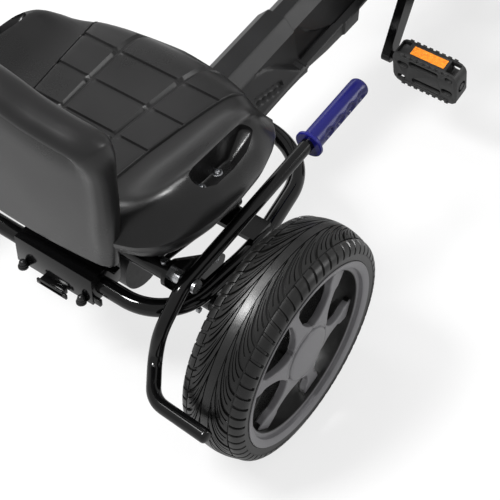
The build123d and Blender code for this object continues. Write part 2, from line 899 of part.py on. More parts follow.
def make_nose():
    floor = bumper_height + bumper_radius
    outline = make_face(
        Polyline(
            (nose_start, floor),
            (nose_end, floor),
            (nose_end, nose_front_top),
            (nose_start, nose_top),
            close=True,
        )
    )
    nose = side_plate(outline, -nose_half, nose_half)
    inner = make_face(
        Polyline(
            (nose_start - nose_wall, floor - nose_wall),
            (nose_end - nose_wall, floor - nose_wall),
            (nose_end - nose_wall, nose_front_top - nose_wall),
            (nose_start - nose_wall, nose_top - nose_wall),
            close=True,
        )
    )
    return nose - side_plate(inner, -nose_half + nose_wall, nose_half - nose_wall)


def wheel_pieces(place, fixed):
    bore = axle_radius if fixed else axle_radius + running_gap
    return {
        place + "_tyre": make_tyre(),
        place + "_rim": make_rim(bore),
        place + "_hubcap": make_cap(),
    }


def build():
    pieces = {}
    loop = rod(loop_path(), loop_radius)
    pivot_tube = along_x(-plate_inner, plate_inner, pivot_ahead, pivot_height, pivot_tube_radius)
    plate = make_plate(loop)
    rail = make_rails(pivot_tube)
    pieces["main_beam"] = make_beam()
    pieces["seat_loop"] = loop
    pieces["pivot_tube"] = pivot_tube
    pieces["bearing_plate_right"] = plate
    pieces["bearing_plate_left"] = mirrored(plate)
    crossbar = block(
        (-loop_side_half, loop_side_half),
        (crossbar_ahead - crossbar_width / 2, crossbar_ahead + crossbar_width / 2),
        (loop_top, crossbar_top),
    )
    pieces["seat_crossbar"] = crossbar
    pieces["seat_rail_right"] = rail
    pieces["seat_rail_left"] = mirrored(rail)
    pieces["seat_posts"] = Compound(
        children=[
            upright(side * post_across, crossbar_ahead, crossbar_top, seat_bottom, post_radius)
            for side in (1, -1)
        ]
    )
    pieces["seat_shell"] = make_seat()
    pieces["rear_clamp"] = make_clamp()
    pieces["clamp_knobs"] = make_knobs()
    pieces["tunnel_rear"] = make_fairing(
        fairing_start,
        fairing_step_ahead,
        0.0,
        (fairing_start + rib_inset, fairing_step_ahead - fairing_overlap - rib_inset),
    )
    pieces["tunnel_front"] = make_fairing(
        fairing_step_ahead - fairing_overlap,
        fairing_end,
        fairing_step,
        (fairing_step_ahead + rib_inset, crank_ahead - rib_inset, fairing_end - fairing_rib),
    )
    pieces["chain_case"] = make_case()
    pieces["sprocket_cover"] = make_cover()
    bracket = along_x(-case_inner, case_inner, crank_ahead, crank_height, bracket_radius)
    pieces["crank_bracket"] = bracket - along_x(
        -track_half, track_half, crank_ahead, crank_height, crank_spindle_radius + running_gap
    )
    pieces["brake_pivot"] = make_pivot_bolt()
    pieces["front_crossbeam"] = make_crossbeam()
    pieces["column_foot"] = make_column_foot()
    pieces["column_support"] = make_column_support()
    pieces["front_bumper"] = make_bumper()
    pieces["nose_cone"] = make_nose()

    axle_half = track_half + web_outer - axle_end_inset
    pieces["rear_axle"] = along_x(-axle_half, axle_half, 0, axle_height, axle_radius)
    for row, ahead in (("rear", 0.0), ("front", front_axle)):
        for name, side in (("right", 1), ("left", -1)):
            fixed = row == "rear" and name == "right"
            for node, piece in wheel_pieces(row + "_" + name, fixed).items():
                if side < 0:
                    piece = mirrored(piece)
                pieces[node] = Pos(side * track_half, ahead, axle_height) * piece

    knuckle = make_knuckle()
    tie_rod = make_tie_rod()
    pieces["knuckle_right"] = knuckle
    pieces["knuckle_left"] = mirrored(knuckle)
    pieces["tie_rod_right"] = tie_rod
    pieces["tie_rod_left"] = mirrored(tie_rod)
    pieces["steering_column"] = make_column()
    pieces["steering_wheel"] = make_steering_wheel()
    pieces["steering_pad"] = make_pad()
    pieces["crankset"] = make_crankset()
    for name, side in (("right", 1), ("left", -1)):
        pieces["pedal_" + name] = make_pedal(side)
        pieces["reflectors_" + name] = make_reflectors(side)
    pieces["brake_lever"] = make_lever()
    pieces["brake_grip"] = make_grip()
    return pieces


os.makedirs("parts", exist_ok=True)
for node, piece in build().items():
    placed = Pos(0, rear_axle_y, 0) * Rot(0, 0, 180) * piece
    export_step(placed, "parts/" + node + ".step")
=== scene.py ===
import math

import bmesh
import bpy
from mathutils import Matrix, Vector


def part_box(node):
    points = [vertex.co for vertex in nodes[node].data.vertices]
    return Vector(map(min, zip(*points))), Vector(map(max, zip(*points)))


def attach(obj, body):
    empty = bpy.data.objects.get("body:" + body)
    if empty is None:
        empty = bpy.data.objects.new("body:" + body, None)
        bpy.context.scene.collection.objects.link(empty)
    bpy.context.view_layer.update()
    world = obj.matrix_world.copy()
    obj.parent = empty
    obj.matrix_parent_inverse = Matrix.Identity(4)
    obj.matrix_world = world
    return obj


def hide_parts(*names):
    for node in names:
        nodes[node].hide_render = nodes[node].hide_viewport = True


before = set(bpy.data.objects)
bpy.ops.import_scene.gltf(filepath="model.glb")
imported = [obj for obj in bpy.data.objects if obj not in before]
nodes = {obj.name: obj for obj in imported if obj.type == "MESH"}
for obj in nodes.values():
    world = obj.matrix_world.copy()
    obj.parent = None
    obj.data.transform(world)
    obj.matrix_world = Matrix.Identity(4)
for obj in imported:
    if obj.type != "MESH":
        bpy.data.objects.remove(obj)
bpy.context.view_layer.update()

axleLow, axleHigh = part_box("rear_axle")
rearAxle = (axleLow.y + axleHigh.y) / 2     # the rear axle's place, metres
print("frame loaded, rear axle at", round(rearAxle, 4))


# Everything is shaped in millimetres, x to the rider's right, y ahead of the rear axle, z up,
# and settled into the frame at the end
mm = 0.001
perMetre = 1000


def deselect():
    if bpy.context.object and bpy.context.object.mode != "OBJECT":
        bpy.ops.object.mode_set(mode="OBJECT")
    bpy.ops.object.select_all(action="DESELECT")


def takeUp(piece):
    deselect()
    piece.select_set(True)
    bpy.context.view_layer.objects.active = piece


def openUp(piece):
    takeUp(piece)
    bpy.ops.object.mode_set(mode="EDIT")


def closeUp():
    bpy.ops.object.mode_set(mode="OBJECT")


def newest(name):
    piece = bpy.context.object
    piece.name = name
    piece.data.name = name
    return piece


def fromPoints(name, points, faces=(), edges=()):
    mesh = bpy.data.meshes.new(name)
    mesh.from_pydata([tuple(p) for p in points], list(edges), list(faces))
    mesh.update()
    piece = bpy.data.objects.new(name, mesh)
    bpy.context.scene.collection.objects.link(piece)
    return piece


def pickFaces(piece, test):
    # test: of a face's middle and normal
    pick(piece, "FACE", lambda shape: [(f, test(f.calc_center_median(), f.normal)) for f in shape.faces])


def pickEdges(piece, test):
    # test: of an edge's two ends
    pick(piece, "EDGE", lambda shape: [(e, test(e.verts[0].co, e.verts[1].co)) for e in shape.edges])


def pick(piece, kind, choose):
    bpy.ops.mesh.select_mode(type=kind)
    bpy.ops.mesh.select_all(action="DESELECT")
    shape = bmesh.from_edit_mesh(piece.data)
    for part, chosen in choose(shape):
        part.select_set(chosen)
    bmesh.update_edit_mesh(piece.data)


def tidy(piece, merge=0.01):
    openUp(piece)
    bpy.ops.mesh.select_all(action="SELECT")
    bpy.ops.mesh.remove_doubles(threshold=merge)
    bpy.ops.mesh.normals_make_consistent(inside=False)
    closeUp()


def useModifier(piece, kind, **settings):
    takeUp(piece)
    modifier = piece.modifiers.new(kind.title(), kind)
    for key, value in settings.items():
        setattr(modifier, key, value)
    bpy.ops.object.modifier_apply(modifier=modifier.name)


def bevelEdges(piece, width, segments, sharp):
    # rounds the edges that turn by more than sharp degrees
    useModifier(piece, "BEVEL", width=width, segments=segments, limit_method="ANGLE",
                angle_limit=math.radians(sharp))


def cutAway(piece, cutter):
    useModifier(piece, "BOOLEAN", operation="DIFFERENCE", object=cutter, solver="EXACT")
    bpy.data.objects.remove(cutter)


def smooth(piece, angle):
    takeUp(piece)
    bpy.ops.object.shade_smooth_by_angle(angle=math.radians(angle))


def joinAll(name, pieces):
    deselect()
    for piece in pieces:
        piece.select_set(True)
    bpy.context.view_layer.objects.active = pieces[0]
    if len(pieces) > 1:
        bpy.ops.object.join()
    return newest(name)


def copyOf(piece, name):
    twin = piece.copy()
    twin.data = piece.data.copy()
    twin.name = name
    twin.data.name = name
    bpy.context.scene.collection.objects.link(twin)
    return twin


def turn(piece, degrees, axis):
    piece.data.transform(Matrix.Rotation(math.radians(degrees), 4, axis))


def shift(piece, across, ahead, up):
    piece.data.transform(Matrix.Translation((across, ahead, up)))


def settle(piece, side=1, across=0, ahead=0, up=0):
    takeUp(piece)
    bpy.ops.object.transform_apply(location=True, rotation=True, scale=True)
    place = Matrix.Diagonal((-side * mm, -mm, mm, 1))
    place.translation = (-side * across * mm, rearAxle - ahead * mm, up * mm)
    piece.data.transform(place)
    if side < 0:
        piece.data.flip_normals()
    return piece


def settleAt(piece, middle, side=1):
    # middle: a place in the frame, metres
    ahead = (rearAxle - middle.y) * perMetre
    return settle(piece, side, -side * middle.x * perMetre, ahead, middle.z * perMetre)


def give(piece, body, slot, *replaced):
    if not piece.data.materials:
        piece.data.materials.append(finish[slot])
    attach(piece, body)
    if replaced:
        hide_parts(*replaced)
    return piece


def spun(name, profile, steps, axis="X"):
    # profile: (along the axis, radius); spun all the way round and closed at the poles
    points = [(a, 0, r) if axis == "X" else (0, a, r) for a, r in profile]
    piece = fromPoints(name, points, edges=[(i, i + 1) for i in range(len(points) - 1)])
    openUp(piece)
    bpy.ops.mesh.select_all(action="SELECT")
    way = (1, 0, 0) if axis == "X" else (0, 1, 0)
    bpy.ops.mesh.spin(steps=steps, angle=math.tau, center=(0, 0, 0), axis=way)
    closeUp()
    tidy(piece)
    return piece


def block(name, low, high, bevel=0):
    size = Vector(high) - Vector(low)
    middle = (Vector(high) + Vector(low)) / 2
    deselect()
    bpy.ops.mesh.primitive_cube_add(size=1, location=middle)
    piece = newest(name)
    piece.scale = size
    bpy.ops.object.transform_apply(location=True, rotation=True, scale=True)
    if bevel:
        openUp(piece)
        bpy.ops.mesh.select_all(action="SELECT")
        bpy.ops.mesh.bevel(offset=bevel, segments=1, affect="EDGES")
        closeUp()
    return piece


def between(x, table):
    # straight-line reading of a table of (x, value) with x rising
    if x <= table[0][0]:
        return table[0][1]
    for (x0, v0), (x1, v1) in zip(table, table[1:]):
        if x <= x1:
            return v0 + (v1 - v0) * (x - x0) / (x1 - x0)
    return table[-1][1]


def ease(s):
    s = min(max(s, 0), 1)
    return s * s * (3 - 2 * s)


def gridFaces(deep, wide, first=0):
    # four-sided faces between rows of points that follow each other
    faces = []
    for j in range(deep - 1):
        for i in range(wide - 1):
            a = first + j * wide + i
            faces.append((a, a + 1, a + wide + 1, a + wide))
    return faces


def closedGrid(name, sheets):
    # sheets of the same outline, merged where they meet
    points, faces = [], []
    for rows, flip in sheets:
        sheet = gridFaces(len(rows), len(rows[0]), len(points))
        faces += [face[::-1] for face in sheet] if flip else sheet
        for row in rows:
            points += row
    piece = fromPoints(name, points, faces)
    tidy(piece, 0.02)
    return piece


def wrapRing(name, rows):
    # rows of points that each go all the way round, the last row joined to the first
    wide, points, faces = len(rows[0]), [], []
    for row in rows:
        points += row
    for j in range(len(rows)):
        k = (j + 1) % len(rows)
        for i in range(wide):
            n = (i + 1) % wide
            faces.append((j * wide + i, j * wide + n, k * wide + n, k * wide + i))
    piece = fromPoints(name, points, faces)
    tidy(piece, 0.001)
    return piece


def setInputs(tree, node, values):
    # a value is a number or a colour, or another node's output to link
    for key, value in values.items():
        if isinstance(value, bpy.types.NodeSocket):
            tree.links.new(value, node.inputs[key])
        else:
            node.inputs[key].default_value = value


def addNode(tree, kind, values=None, **settings):
    node = tree.nodes.new("ShaderNode" + kind)
    for key, value in settings.items():
        setattr(node, key, value)
    setInputs(tree, node, values or {})
    return node.outputs


def doMath(tree, operation, *values, **settings):
    return addNode(tree, "Math", dict(enumerate(values)), operation=operation, **settings)[0]


# The floor and the room show white; to the rays that light and mirror they are dimmer, "unseen"
stageLook = {"floorSize": 80, "floor": 0.9, "floorMirrored": 0.3, "floorGlow": 0.72, "floorRough": 0.3,
             "floorSpecular": 0.2, "unseen": 0.5}
# name, place, target, width, height, watts
lamps = (("keyLamp", (0.56, 1.38, 2.1), (-0.1, 0.4, 0.2), 0.52, 0.52, 54),
         ("topLamp", (0.75, 0.5, 2.3), (0, 0.1, 0.2), 0.5, 1.2, 17),
         ("sideLamp", (-2.1, -1.4, 1.5), (0, 0.1, 0.25), 0.7, 1.4, 14),
         ("rimLamp", (1.9, -1, 1.3), (0, 0.2, 0.25), 1.2, 0.5, 2.5))
# solved from the photo; right, up and back are the camera's own axes
photoCamera = {"lens": 91.64, "sensor": 36, "clip": 0.05, "place": (-0.7134, 1.1359, 1.2228),
               "right": (-0.8088, -0.5875, 0.0245), "up": (0.4477, -0.5883, 0.6734),
               "back": (-0.3812, 0.5556, 0.7389)}


def whiteView(tree):
    # 1 for camera and transmission rays, "unseen" for all others
    path = addNode(tree, "LightPath")
    seen = doMath(tree, "MAXIMUM", path["Is Camera Ray"], stageLook["unseen"])
    return doMath(tree, "MAXIMUM", seen, path["Is Transmission Ray"])


def makeFloor():
    look = stageLook
    deselect()
    bpy.ops.mesh.primitive_plane_add(size=look["floorSize"], location=(0, 0, 0))
    floor = newest("floor")
    material = bpy.data.materials.new("floorWhite")
    material.use_nodes = True
    tree = material.node_tree
    shader = tree.nodes["Principled BSDF"]
    shade = addNode(tree, "MapRange", {"Value": addNode(tree, "LightPath")["Is Glossy Ray"],
                                       "To Min": look["floor"], "To Max": look["floorMirrored"]})
    setInputs(tree, shader, {"Base Color": shade[0], "Roughness": look["floorRough"],
                             "Specular IOR Level": look["floorSpecular"]})
    share = doMath(tree, "MULTIPLY", whiteView(tree), look["floorGlow"])
    mix = addNode(tree, "MixShader", {"Fac": share, 1: shader.outputs[0], 2: addNode(tree, "Emission")[0]})
    setInputs(tree, tree.nodes["Material Output"], {"Surface": mix[0]})
    floor.data.materials.append(material)


def makeWorld():
    world = bpy.data.worlds.new("studioRoom")
    bpy.context.scene.world = world
    world.use_nodes = True
    tree = world.node_tree
    setInputs(tree, tree.nodes["Background"], {"Color": (1, 1, 1, 1), "Strength": whiteView(tree)})


def makeLamp(name, place, target, wide, tall, watts):
    light = bpy.data.lights.new(name, "AREA")
    light.shape = "RECTANGLE"
    light.size = wide
    light.size_y = tall
    light.energy = watts
    lamp = bpy.data.objects.new(name, light)
    bpy.context.scene.collection.objects.link(lamp)
    lamp.location = place
    lamp.rotation_euler = (Vector(target) - Vector(place)).to_track_quat("-Z", "Y").to_euler()


def makeCamera():
    look = photoCamera
    data = bpy.data.cameras.new("photoView")
    data.lens = look["lens"]
    data.sensor_width = look["sensor"]
    data.clip_start = look["clip"]
    camera = bpy.data.objects.new("photoView", data)
    bpy.context.scene.collection.objects.link(camera)
    turned = Matrix((look["right"], look["up"], look["back"])).transposed().to_4x4()
    turned.translation = look["place"]
    camera.matrix_world = turned
    bpy.context.scene.camera = camera


makeFloor()
makeWorld()
for lamp in lamps:
    makeLamp(*lamp)
makeCamera()
bpy.context.scene.view_settings.view_transform = "Standard"
print("stage, lights and camera placed")


# The effects that all finishes share, each a node group with these values inside
grainLook = {"detail": 3, "waveScale": 22, "waveDetail": 2}
driftLook = {"detail": 4, "speckleScale": 900, "speckle": 0.25, "low": 0.45, "high": 0.8}
wearLook = {"low": 0.53, "high": 0.62, "breakScale": 160}


def newGroup(name, inputs, outputs):
    # a vector has no value of its own, a colour has four
    tree = bpy.data.node_groups.new(name, "ShaderNodeTree")
    for label, value in inputs.items():
        kind = "Vector" if value is None else "Color" if isinstance(value, tuple) else "Float"
        socket = tree.interface.new_socket(label, in_out="INPUT", socket_type="NodeSocket" + kind)
        if value is not None:
            socket.default_value = value
    for label, kind in outputs.items():
        tree.interface.new_socket(label, in_out="OUTPUT", socket_type="NodeSocket" + kind)
    return tree, tree.nodes.new("NodeGroupInput").outputs, tree.nodes.new("NodeGroupOutput")


def mixOut(tree, mask, dark, light, end):
    mix = addNode(tree, "Mix", {"Factor": mask, 6: dark, 7: light}, data_type="RGBA")
    setInputs(tree, end, {"Color": mix[2], "Mask": mask})


def makeGrainGroup():
    # pebbled skin of moulded plastic: fine noise, cells and slow waviness as one height
    inputs = {"Vector": None, "Scale": 1400, "Cells": 0.35, "Waves": 0.6}
    tree, start, end = newGroup("mouldGrain", inputs, {"Height": "Float"})
    look, where, scale = grainLook, start["Vector"], start["Scale"]
    noise = addNode(tree, "TexNoise", {"Vector": where, "Scale": scale, "Detail": look["detail"]})
    cells = addNode(tree, "TexVoronoi", {"Vector": where, "Scale": scale})
    slow = addNode(tree, "TexNoise", {
        "Vector": where, "Scale": look["waveScale"], "Detail": look["waveDetail"]})
    withCells = doMath(tree, "MULTIPLY_ADD", cells["Distance"], start["Cells"], noise["Fac"])
    height = doMath(tree, "MULTIPLY_ADD", slow["Fac"], start["Waves"], withCells)
    setInputs(tree, end, {"Height": height})
    return tree


def makeDriftGroup():
    # two tones that drift into each other, with fine speckle
    inputs = {"Vector": None, "Dark": (0, 0, 0, 1), "Light": (1, 1, 1, 1), "Scale": 9}
    tree, start, end = newGroup("toneDrift", inputs, {"Color": "Color", "Mask": "Float"})
    look, where = driftLook, start["Vector"]
    slow = addNode(tree, "TexNoise", {"Vector": where, "Scale": start["Scale"], "Detail": look["detail"]})
    fine = addNode(tree, "TexNoise", {"Vector": where, "Scale": look["speckleScale"]})
    both = doMath(tree, "MULTIPLY_ADD", fine["Fac"], look["speckle"], slow["Fac"])
    mask = addNode(tree, "MapRange", {"Value": both, "From Min": look["low"], "From Max": look["high"]})[0]
    mixOut(tree, mask, start["Dark"], start["Light"], end)
    return tree


def makeWearGroup():
    # rubbed edges: convex places of the mesh, broken up by noise
    inputs = {"Vector": None, "Colour": (0, 0, 0, 1), "Rubbed": (1, 1, 1, 1), "Amount": 0.5}
    tree, start, end = newGroup("edgeWear", inputs, {"Color": "Color", "Mask": "Float"})
    look, point = wearLook, addNode(tree, "NewGeometry")["Pointiness"]
    edge = addNode(tree, "MapRange", {"Value": point, "From Min": look["low"], "From Max": look["high"]})
    breakUp = addNode(tree, "TexNoise", {"Vector": start["Vector"], "Scale": look["breakScale"]})
    broken = doMath(tree, "MULTIPLY", edge[0], breakUp["Fac"])
    mask = doMath(tree, "MULTIPLY", broken, start["Amount"], use_clamp=True)
    mixOut(tree, mask, start["Colour"], start["Rubbed"], end)
    return tree


grainGroup, driftGroup, wearGroup = makeGrainGroup(), makeDriftGroup(), makeWearGroup()
usual = {"driftScale": 9, "wear": 0.6, "grain": 1400, "cells": 0.35, "waves": 0.6, "bump": 0.25,
         "bumpDepth": 0.0002, "metal": 0, "specular": 0.4, "coat": 0, "coatRough": 0.05}


def colour(tone):
    # one number is a grey
    return (*tone, 1) if isinstance(tone, tuple) else (tone, tone, tone, 1)


def makeFinish(name, own):
    look = {**usual, "rubbed": own["light"], **own}
    material = bpy.data.materials.new(name)
    material.use_nodes = True
    tree = material.node_tree
    where = addNode(tree, "TexCoord")["Object"]
    drift = addNode(tree, "Group", {
        "Vector": where, "Dark": colour(look["dark"]), "Light": colour(look["light"]),
        "Scale": look["driftScale"]}, node_tree=driftGroup)
    wear = addNode(tree, "Group", {
        "Vector": where, "Colour": drift["Color"], "Rubbed": colour(look["rubbed"]),
        "Amount": look["wear"]}, node_tree=wearGroup)
    low, high = look["rough"]
    rough = addNode(tree, "MapRange", {"Value": drift["Mask"], "To Min": low, "To Max": high})
    grain = addNode(tree, "Group", {"Vector": where, "Scale": look["grain"], "Cells": look["cells"],
                                    "Waves": look["waves"]}, node_tree=grainGroup)
    bump = addNode(tree, "Bump", {"Height": grain["Height"], "Strength": look["bump"],
                                  "Distance": look["bumpDepth"]})
    setInputs(tree, tree.nodes["Principled BSDF"], {
        "Base Color": wear["Color"], "Roughness": rough[0], "Normal": bump["Normal"],
        "Metallic": look["metal"], "Specular IOR Level": look["specular"], "Coat Weight": look["coat"],
        "Coat Roughness": look["coatRough"]})
    return material


finishes = {
    "frame_paint": {"dark": (0.0014, 0.0014, 0.0015), "light": (0.0028, 0.0028, 0.0029),
                    "rough": (0.08, 0.13), "grain": 700, "cells": 0, "waves": 1.2, "bump": 0.05,
                    "specular": 0.42},
    "seat_plastic": {"dark": (0.0054, 0.0053, 0.0054), "light": (0.0086, 0.0083, 0.0086),
                     "rough": (0.27, 0.34), "rubbed": (0.04, 0.04, 0.042), "bump": 0.35, "specular": 0.5,
                     "grain": 1300},
    "cover_plastic": {"dark": (0.0059, 0.0059, 0.0062), "light": (0.0091, 0.0091, 0.0097),
                      "rough": (0.3, 0.38), "rubbed": 0.05, "bump": 0.3, "grain": 1500},
    "tyre": {"dark": 0.0049, "light": (0.0084, 0.0083, 0.008), "rough": (0.26, 0.36), "rubbed": 0.05,
             "wear": 0.5, "grain": 1100, "specular": 0.5},
    "rim_plastic": {"dark": (0.15, 0.147, 0.155), "light": (0.19, 0.187, 0.196), "rough": (0.3, 0.36),
                    "rubbed": 0.22, "bump": 0.15, "specular": 0.5, "grain": 1500},
    "grip_plastic": {"dark": (0.003, 0.003, 0.07), "light": (0.0055, 0.0055, 0.11), "rough": (0.2, 0.27),
                     "rubbed": (0.03, 0.03, 0.4), "bump": 0.04, "waves": 0.1, "specular": 0.5, "grain": 900},
    "pedal_plastic": {"dark": 0.010, "light": 0.019, "rough": (0.36, 0.5), "rubbed": 0.06, "bump": 0.35,
                      "specular": 0.45, "grain": 1200},
    "reflector": {"dark": (0.85, 0.17, 0.002), "light": (1, 0.34, 0.01), "rough": (0.12, 0.22),
                  "driftScale": 260, "bump": 0.5, "bumpDepth": 0.0006, "cells": 1.5, "grain": 420,
                  "specular": 0.6, "coat": 0.6},
    "zinc": {"dark": (0.42, 0.43, 0.45), "light": (0.62, 0.63, 0.65), "rough": (0.2, 0.34), "metal": 1,
             "rubbed": 0.8, "bump": 0.15, "specular": 0.5, "grain": 1600},
    "wheel_grip": {"dark": 0.010, "light": 0.017, "rough": (0.45, 0.58), "rubbed": 0.04, "bump": 0.5,
                   "grain": 900},
}
finish = {}
for slot, look in finishes.items():
    finish[slot] = makeFinish(slot.replace("_", " ").title().replace(" ", ""), look)
for node in nodes.values():
    slot = node.data.materials[0].name.split(".")[0]
    for place in node.material_slots:
        place.material = finish[slot]
print("materials made")


# The tread is directional, so its rows are laid out by formula. q is the distance in from the
# shoulder; sweep and sideSweep lean the grooves with q and with the way down the side.
tyreLook = {
    "pitches": 30, "crownRadius": 66.6, "radius": 140, "shoulder": 26.5, "smooth": 28,
    "sideCentre": (25.67, 121.29), "sideRadius": 13.24, "sweep": (0.8, 0.0054), "sideSweep": 0.25,
    "sideEnd": 88,
    "ribEnd": 20.6, "ribRows": ((0, 0), (2.6, 0), (4.5, 0), (4.7, 1.2), (5.5, 1.2), (5.7, 0)),
    "treadSteps": (20, 19, 17.9, 17.1, 17, 16, 15, 14.1, 14, 12.6, 11.2, 9.8, 8.4, 7, 5.9,
                   5.1, 5, 3.9, 2.7, 1.7, 1.6, 0.8, 0.25),
    "shoulderRows": ((26.35, 0), (27.7, 1)), "shoulderDepth": 2.2,
    "sideAngles": (5.5, 11, 18, 26, 34, 42, 50, 58, 66, 74, 80, 84, 86.5, 88.5, 92),
    "sideGroove": 1.9, "sideGrooveEnd": 85, "beadStep": 0.7,
    "beadRows": ((38.1, 118.6), (37.9, 116), (37.7, 114.2), (37, 113.3), (35.6, 112.9)),
    "underHalf": 31, "underRadius": 111,
}
# Of each groove: half width, and how much wider it is cut where it leans more, so that it stays
# as wide across; the edges' lip and the clear land beside; where in the pitch the thin ones lie
treadLook = {"main": 0.058, "mainWider": 0.085, "mainUpTo": 14, "thin": 0.018, "thinWider": 0.03,
             "lip": 0.024, "land": 0.05, "first": 0.345, "second": 0.65}
# columns, from and to q, depths by q
treadGrooves = (((1, 2), 0, 21, ((0, 2.8), (12, 2.6), (20.6, 1.6))), ((7, 8), 1.6, 14, ((0, 2.1),)),
                ((13, 14), 5, 17, ((0, 1.8),)))
# The columns over one pitch of the shoulder and the side
blockPhases = (-0.07, -0.045, 0.045, 0.07, 0.16, 0.30, 0.43, 0.455, 0.545, 0.57,
               0.61, 0.64, 0.68, 0.71, 0.75, 0.78, 0.82, 0.87)
sideGrooveColumns = (1, 2, 7, 8)


def treadColumns(q):
    look = treadLook
    main = look["main"] * (1 + look["mainWider"] * min(q, look["mainUpTo"]))
    thin, lip, land = look["thin"] * (1 + look["thinWider"] * q), look["lip"], look["land"]
    first, second = look["first"], look["second"]
    return (-main - lip, -main, main, main + lip, main + land, first - thin - land, first - thin - lip,
            first - thin, first + thin, first + thin + lip, 0.46, 0.52, second - thin - lip, second - thin,
            second + thin, second + thin + lip, 0.77, 0.83)


def treadDepth(q, column):
    for columns, start, end, depths in treadGrooves:
        if column in columns and start <= q <= end:
            return between(q, depths)
    return 0


def sideDepth(angle, column):
    if angle > tyreLook["sideEnd"]:
        return tyreLook["beadStep"]
    grooved = column in sideGrooveColumns and angle < tyreLook["sideGrooveEnd"]
    return tyreLook["sideGroove"] if grooved else 0


def tyreRows():
    # each row: kind, place across, q, list of (phase, depth)
    look, rows = tyreLook, []
    for w, depth in look["ribRows"]:
        rows.append(("tread", w, look["ribEnd"], [(p, depth) for p in treadColumns(look["ribEnd"])]))
    for q in look["treadSteps"]:
        phases = [(p, treadDepth(q, i)) for i, p in enumerate(treadColumns(q))]
        rows.append(("tread", look["shoulder"] - q, q, phases))
    for w, mix in look["shoulderRows"]:
        phases = [(a + (b - a) * mix, look["shoulderDepth"]) for a, b in zip(treadColumns(0), blockPhases)]
        rows.append(("tread", w, 0, phases))
    for angle in look["sideAngles"]:
        rows.append(("side", angle, 0, [(p, sideDepth(angle, i)) for i, p in enumerate(blockPhases)]))
    for place in look["beadRows"]:
        rows.append(("flat", place, 0, [(p, 0) for p in blockPhases]))
    return rows


def rowPoints(kind, place, q, phases, side):
    look, points = tyreLook, []
    pitch = math.tau / look["pitches"]
    radius, crown = look["radius"], look["crownRadius"]
    bulge, middle = look["sideRadius"], look["sideCentre"]
    for k in range(look["pitches"]):
        for phase, depth in phases:
            angle = (k + phase) * pitch
            if kind == "tread":
                lean = place / crown
                angle -= (look["sweep"][0] * q + look["sweep"][1] * q ** 3) / radius
                across = (crown - depth) * math.sin(lean)
                out = radius - crown + (crown - depth) * math.cos(lean)
            elif kind == "flat":
                across, out = place
            else:
                turned = math.radians(place)
                if place < look["sideEnd"]:
                    angle += look["sideSweep"] * bulge * turned / radius
                across = middle[0] + (bulge - depth) * math.sin(turned)
                out = middle[1] + (bulge - depth) * math.cos(turned)
            points.append((side * across, out * math.cos(angle), out * math.sin(angle)))
    return points


def makeTyre():
    look, rows, under = tyreLook, tyreRows(), []
    inner = [rowPoints(*row, -1) for row in reversed(rows[1:])]
    outer = [rowPoints(*row, 1) for row in rows]
    for across in (look["underHalf"], -look["underHalf"]):
        under.append(rowPoints("flat", (across, look["underRadius"]), 0, [(p, 0) for p in blockPhases], 1))
    tyre = wrapRing("tyre", inner + outer + under)
    smooth(tyre, look["smooth"])
    return tyre


wheelPlaces = (("rear_right", 1, 0, "rear_axle"), ("rear_left", -1, 0, "rear_left_wheel"),
               ("front_right", 1, 800, "front_right_wheel"), ("front_left", -1, 800, "front_left_wheel"))
wheelLook = {"trackHalf": 259, "height": 140}


def placeOnWheels(master, ending, slot, node):
    for place, side, ahead, body in wheelPlaces:
        piece = copyOf(master, place + ending)
        settle(piece, side, wheelLook["trackHalf"], ahead, wheelLook["height"])
        give(piece, body, slot, place + node)
    bpy.data.objects.remove(master)


placeOnWheels(makeTyre(), "_tread", "tyre", "_tyre")
print("tyres done")


# barrel: the radii between which the rim's faces get painted shade; webBack: the depth and radius below
# which the web's back gets painted shade
rimLook = {"hub": 38, "face": 32.5, "dish": 7, "dishOver": 60, "thick": 9, "steps": 144,
           "hubSteps": 96, "spokes": 6, "firstSpoke": 47, "rib": ((-26, 20, -1.6), (-8, 99, 1.6)),
           "ribBevel": 0.5, "barrel": (98, 99.4), "webBack": (22, 104)}
ringProfile = ((38.2, 113.4), (38.9, 112.6), (38.8, 111.8), (37.5, 107.5), (36.7, 105), (36, 104.3),
               (31.4, 103.8), (31, 103.2), (31, 99.6), (30.4, 98.7), (-30.4, 98.7), (-31, 99.6),
               (-31, 103.2), (-36, 104.3), (-38.8, 111.8), (-38.9, 112.6), (-38.2, 113.4),
               (-36, 112.6), (-34, 110.8), (34, 110.8), (36, 112.6), (38.2, 113.4))
# (out from the face, radius)
hubProfile = ((-40, 0), (-40, 21), (-9, 22), (-9, 37), (-1, 38.4), (0.2, 37.6), (0.2, 36), (-0.9, 35.6),
              (-0.9, 34.9), (-1.4, 34.6), (-1.4, 0))
capProfile = ((-1.3, 34.6), (-1.3, 33.4), (0.4, 33), (1.5, 32.2), (2.1, 30.6), (2.5, 27), (3.1, 19),
              (3.5, 10), (3.6, 0), (-3, 0), (-3, 34.6))
# (radius, half width on the rear side, half width on the front side) of a spoke
spokeTable = ((30, 18, 18), (36, 17, 17), (39, 14.6, 14.6), (42, 12.5, 12.5), (46, 10.2, 10.2),
              (50, 8.6, 8.6), (54, 7.5, 7.5), (58, 6.8, 6.8), (66, 6.3, 6.3), (71, 6.4, 6.6), (74, 7, 7.6),
              (76.5, 8.6, 9.8), (79, 10.4, 11.2), (84, 11.4, 12.4), (92, 12.4, 12.9), (99.2, 13.4, 14))
spokeShares = (-1, -0.55, 0, 0.55, 1)


def makeSpoke():
    points = []
    for radius, low, high in spokeTable:
        sag = rimLook["face"] - rimLook["dish"] * max(0, radius - rimLook["hub"]) / rimLook["dishOver"]
        points += [(sag, radius, share * (high if share > 0 else low)) for share in spokeShares]
    spoke = fromPoints("spoke", points, gridFaces(len(spokeTable), len(spokeShares)))
    tidy(spoke)
    if spoke.data.polygons[0].normal.x < 0:
        spoke.data.flip_normals()
    useModifier(spoke, "SOLIDIFY", thickness=rimLook["thick"], offset=-1)
    bevelEdges(spoke, 1.5, 3, 40)
    return spoke


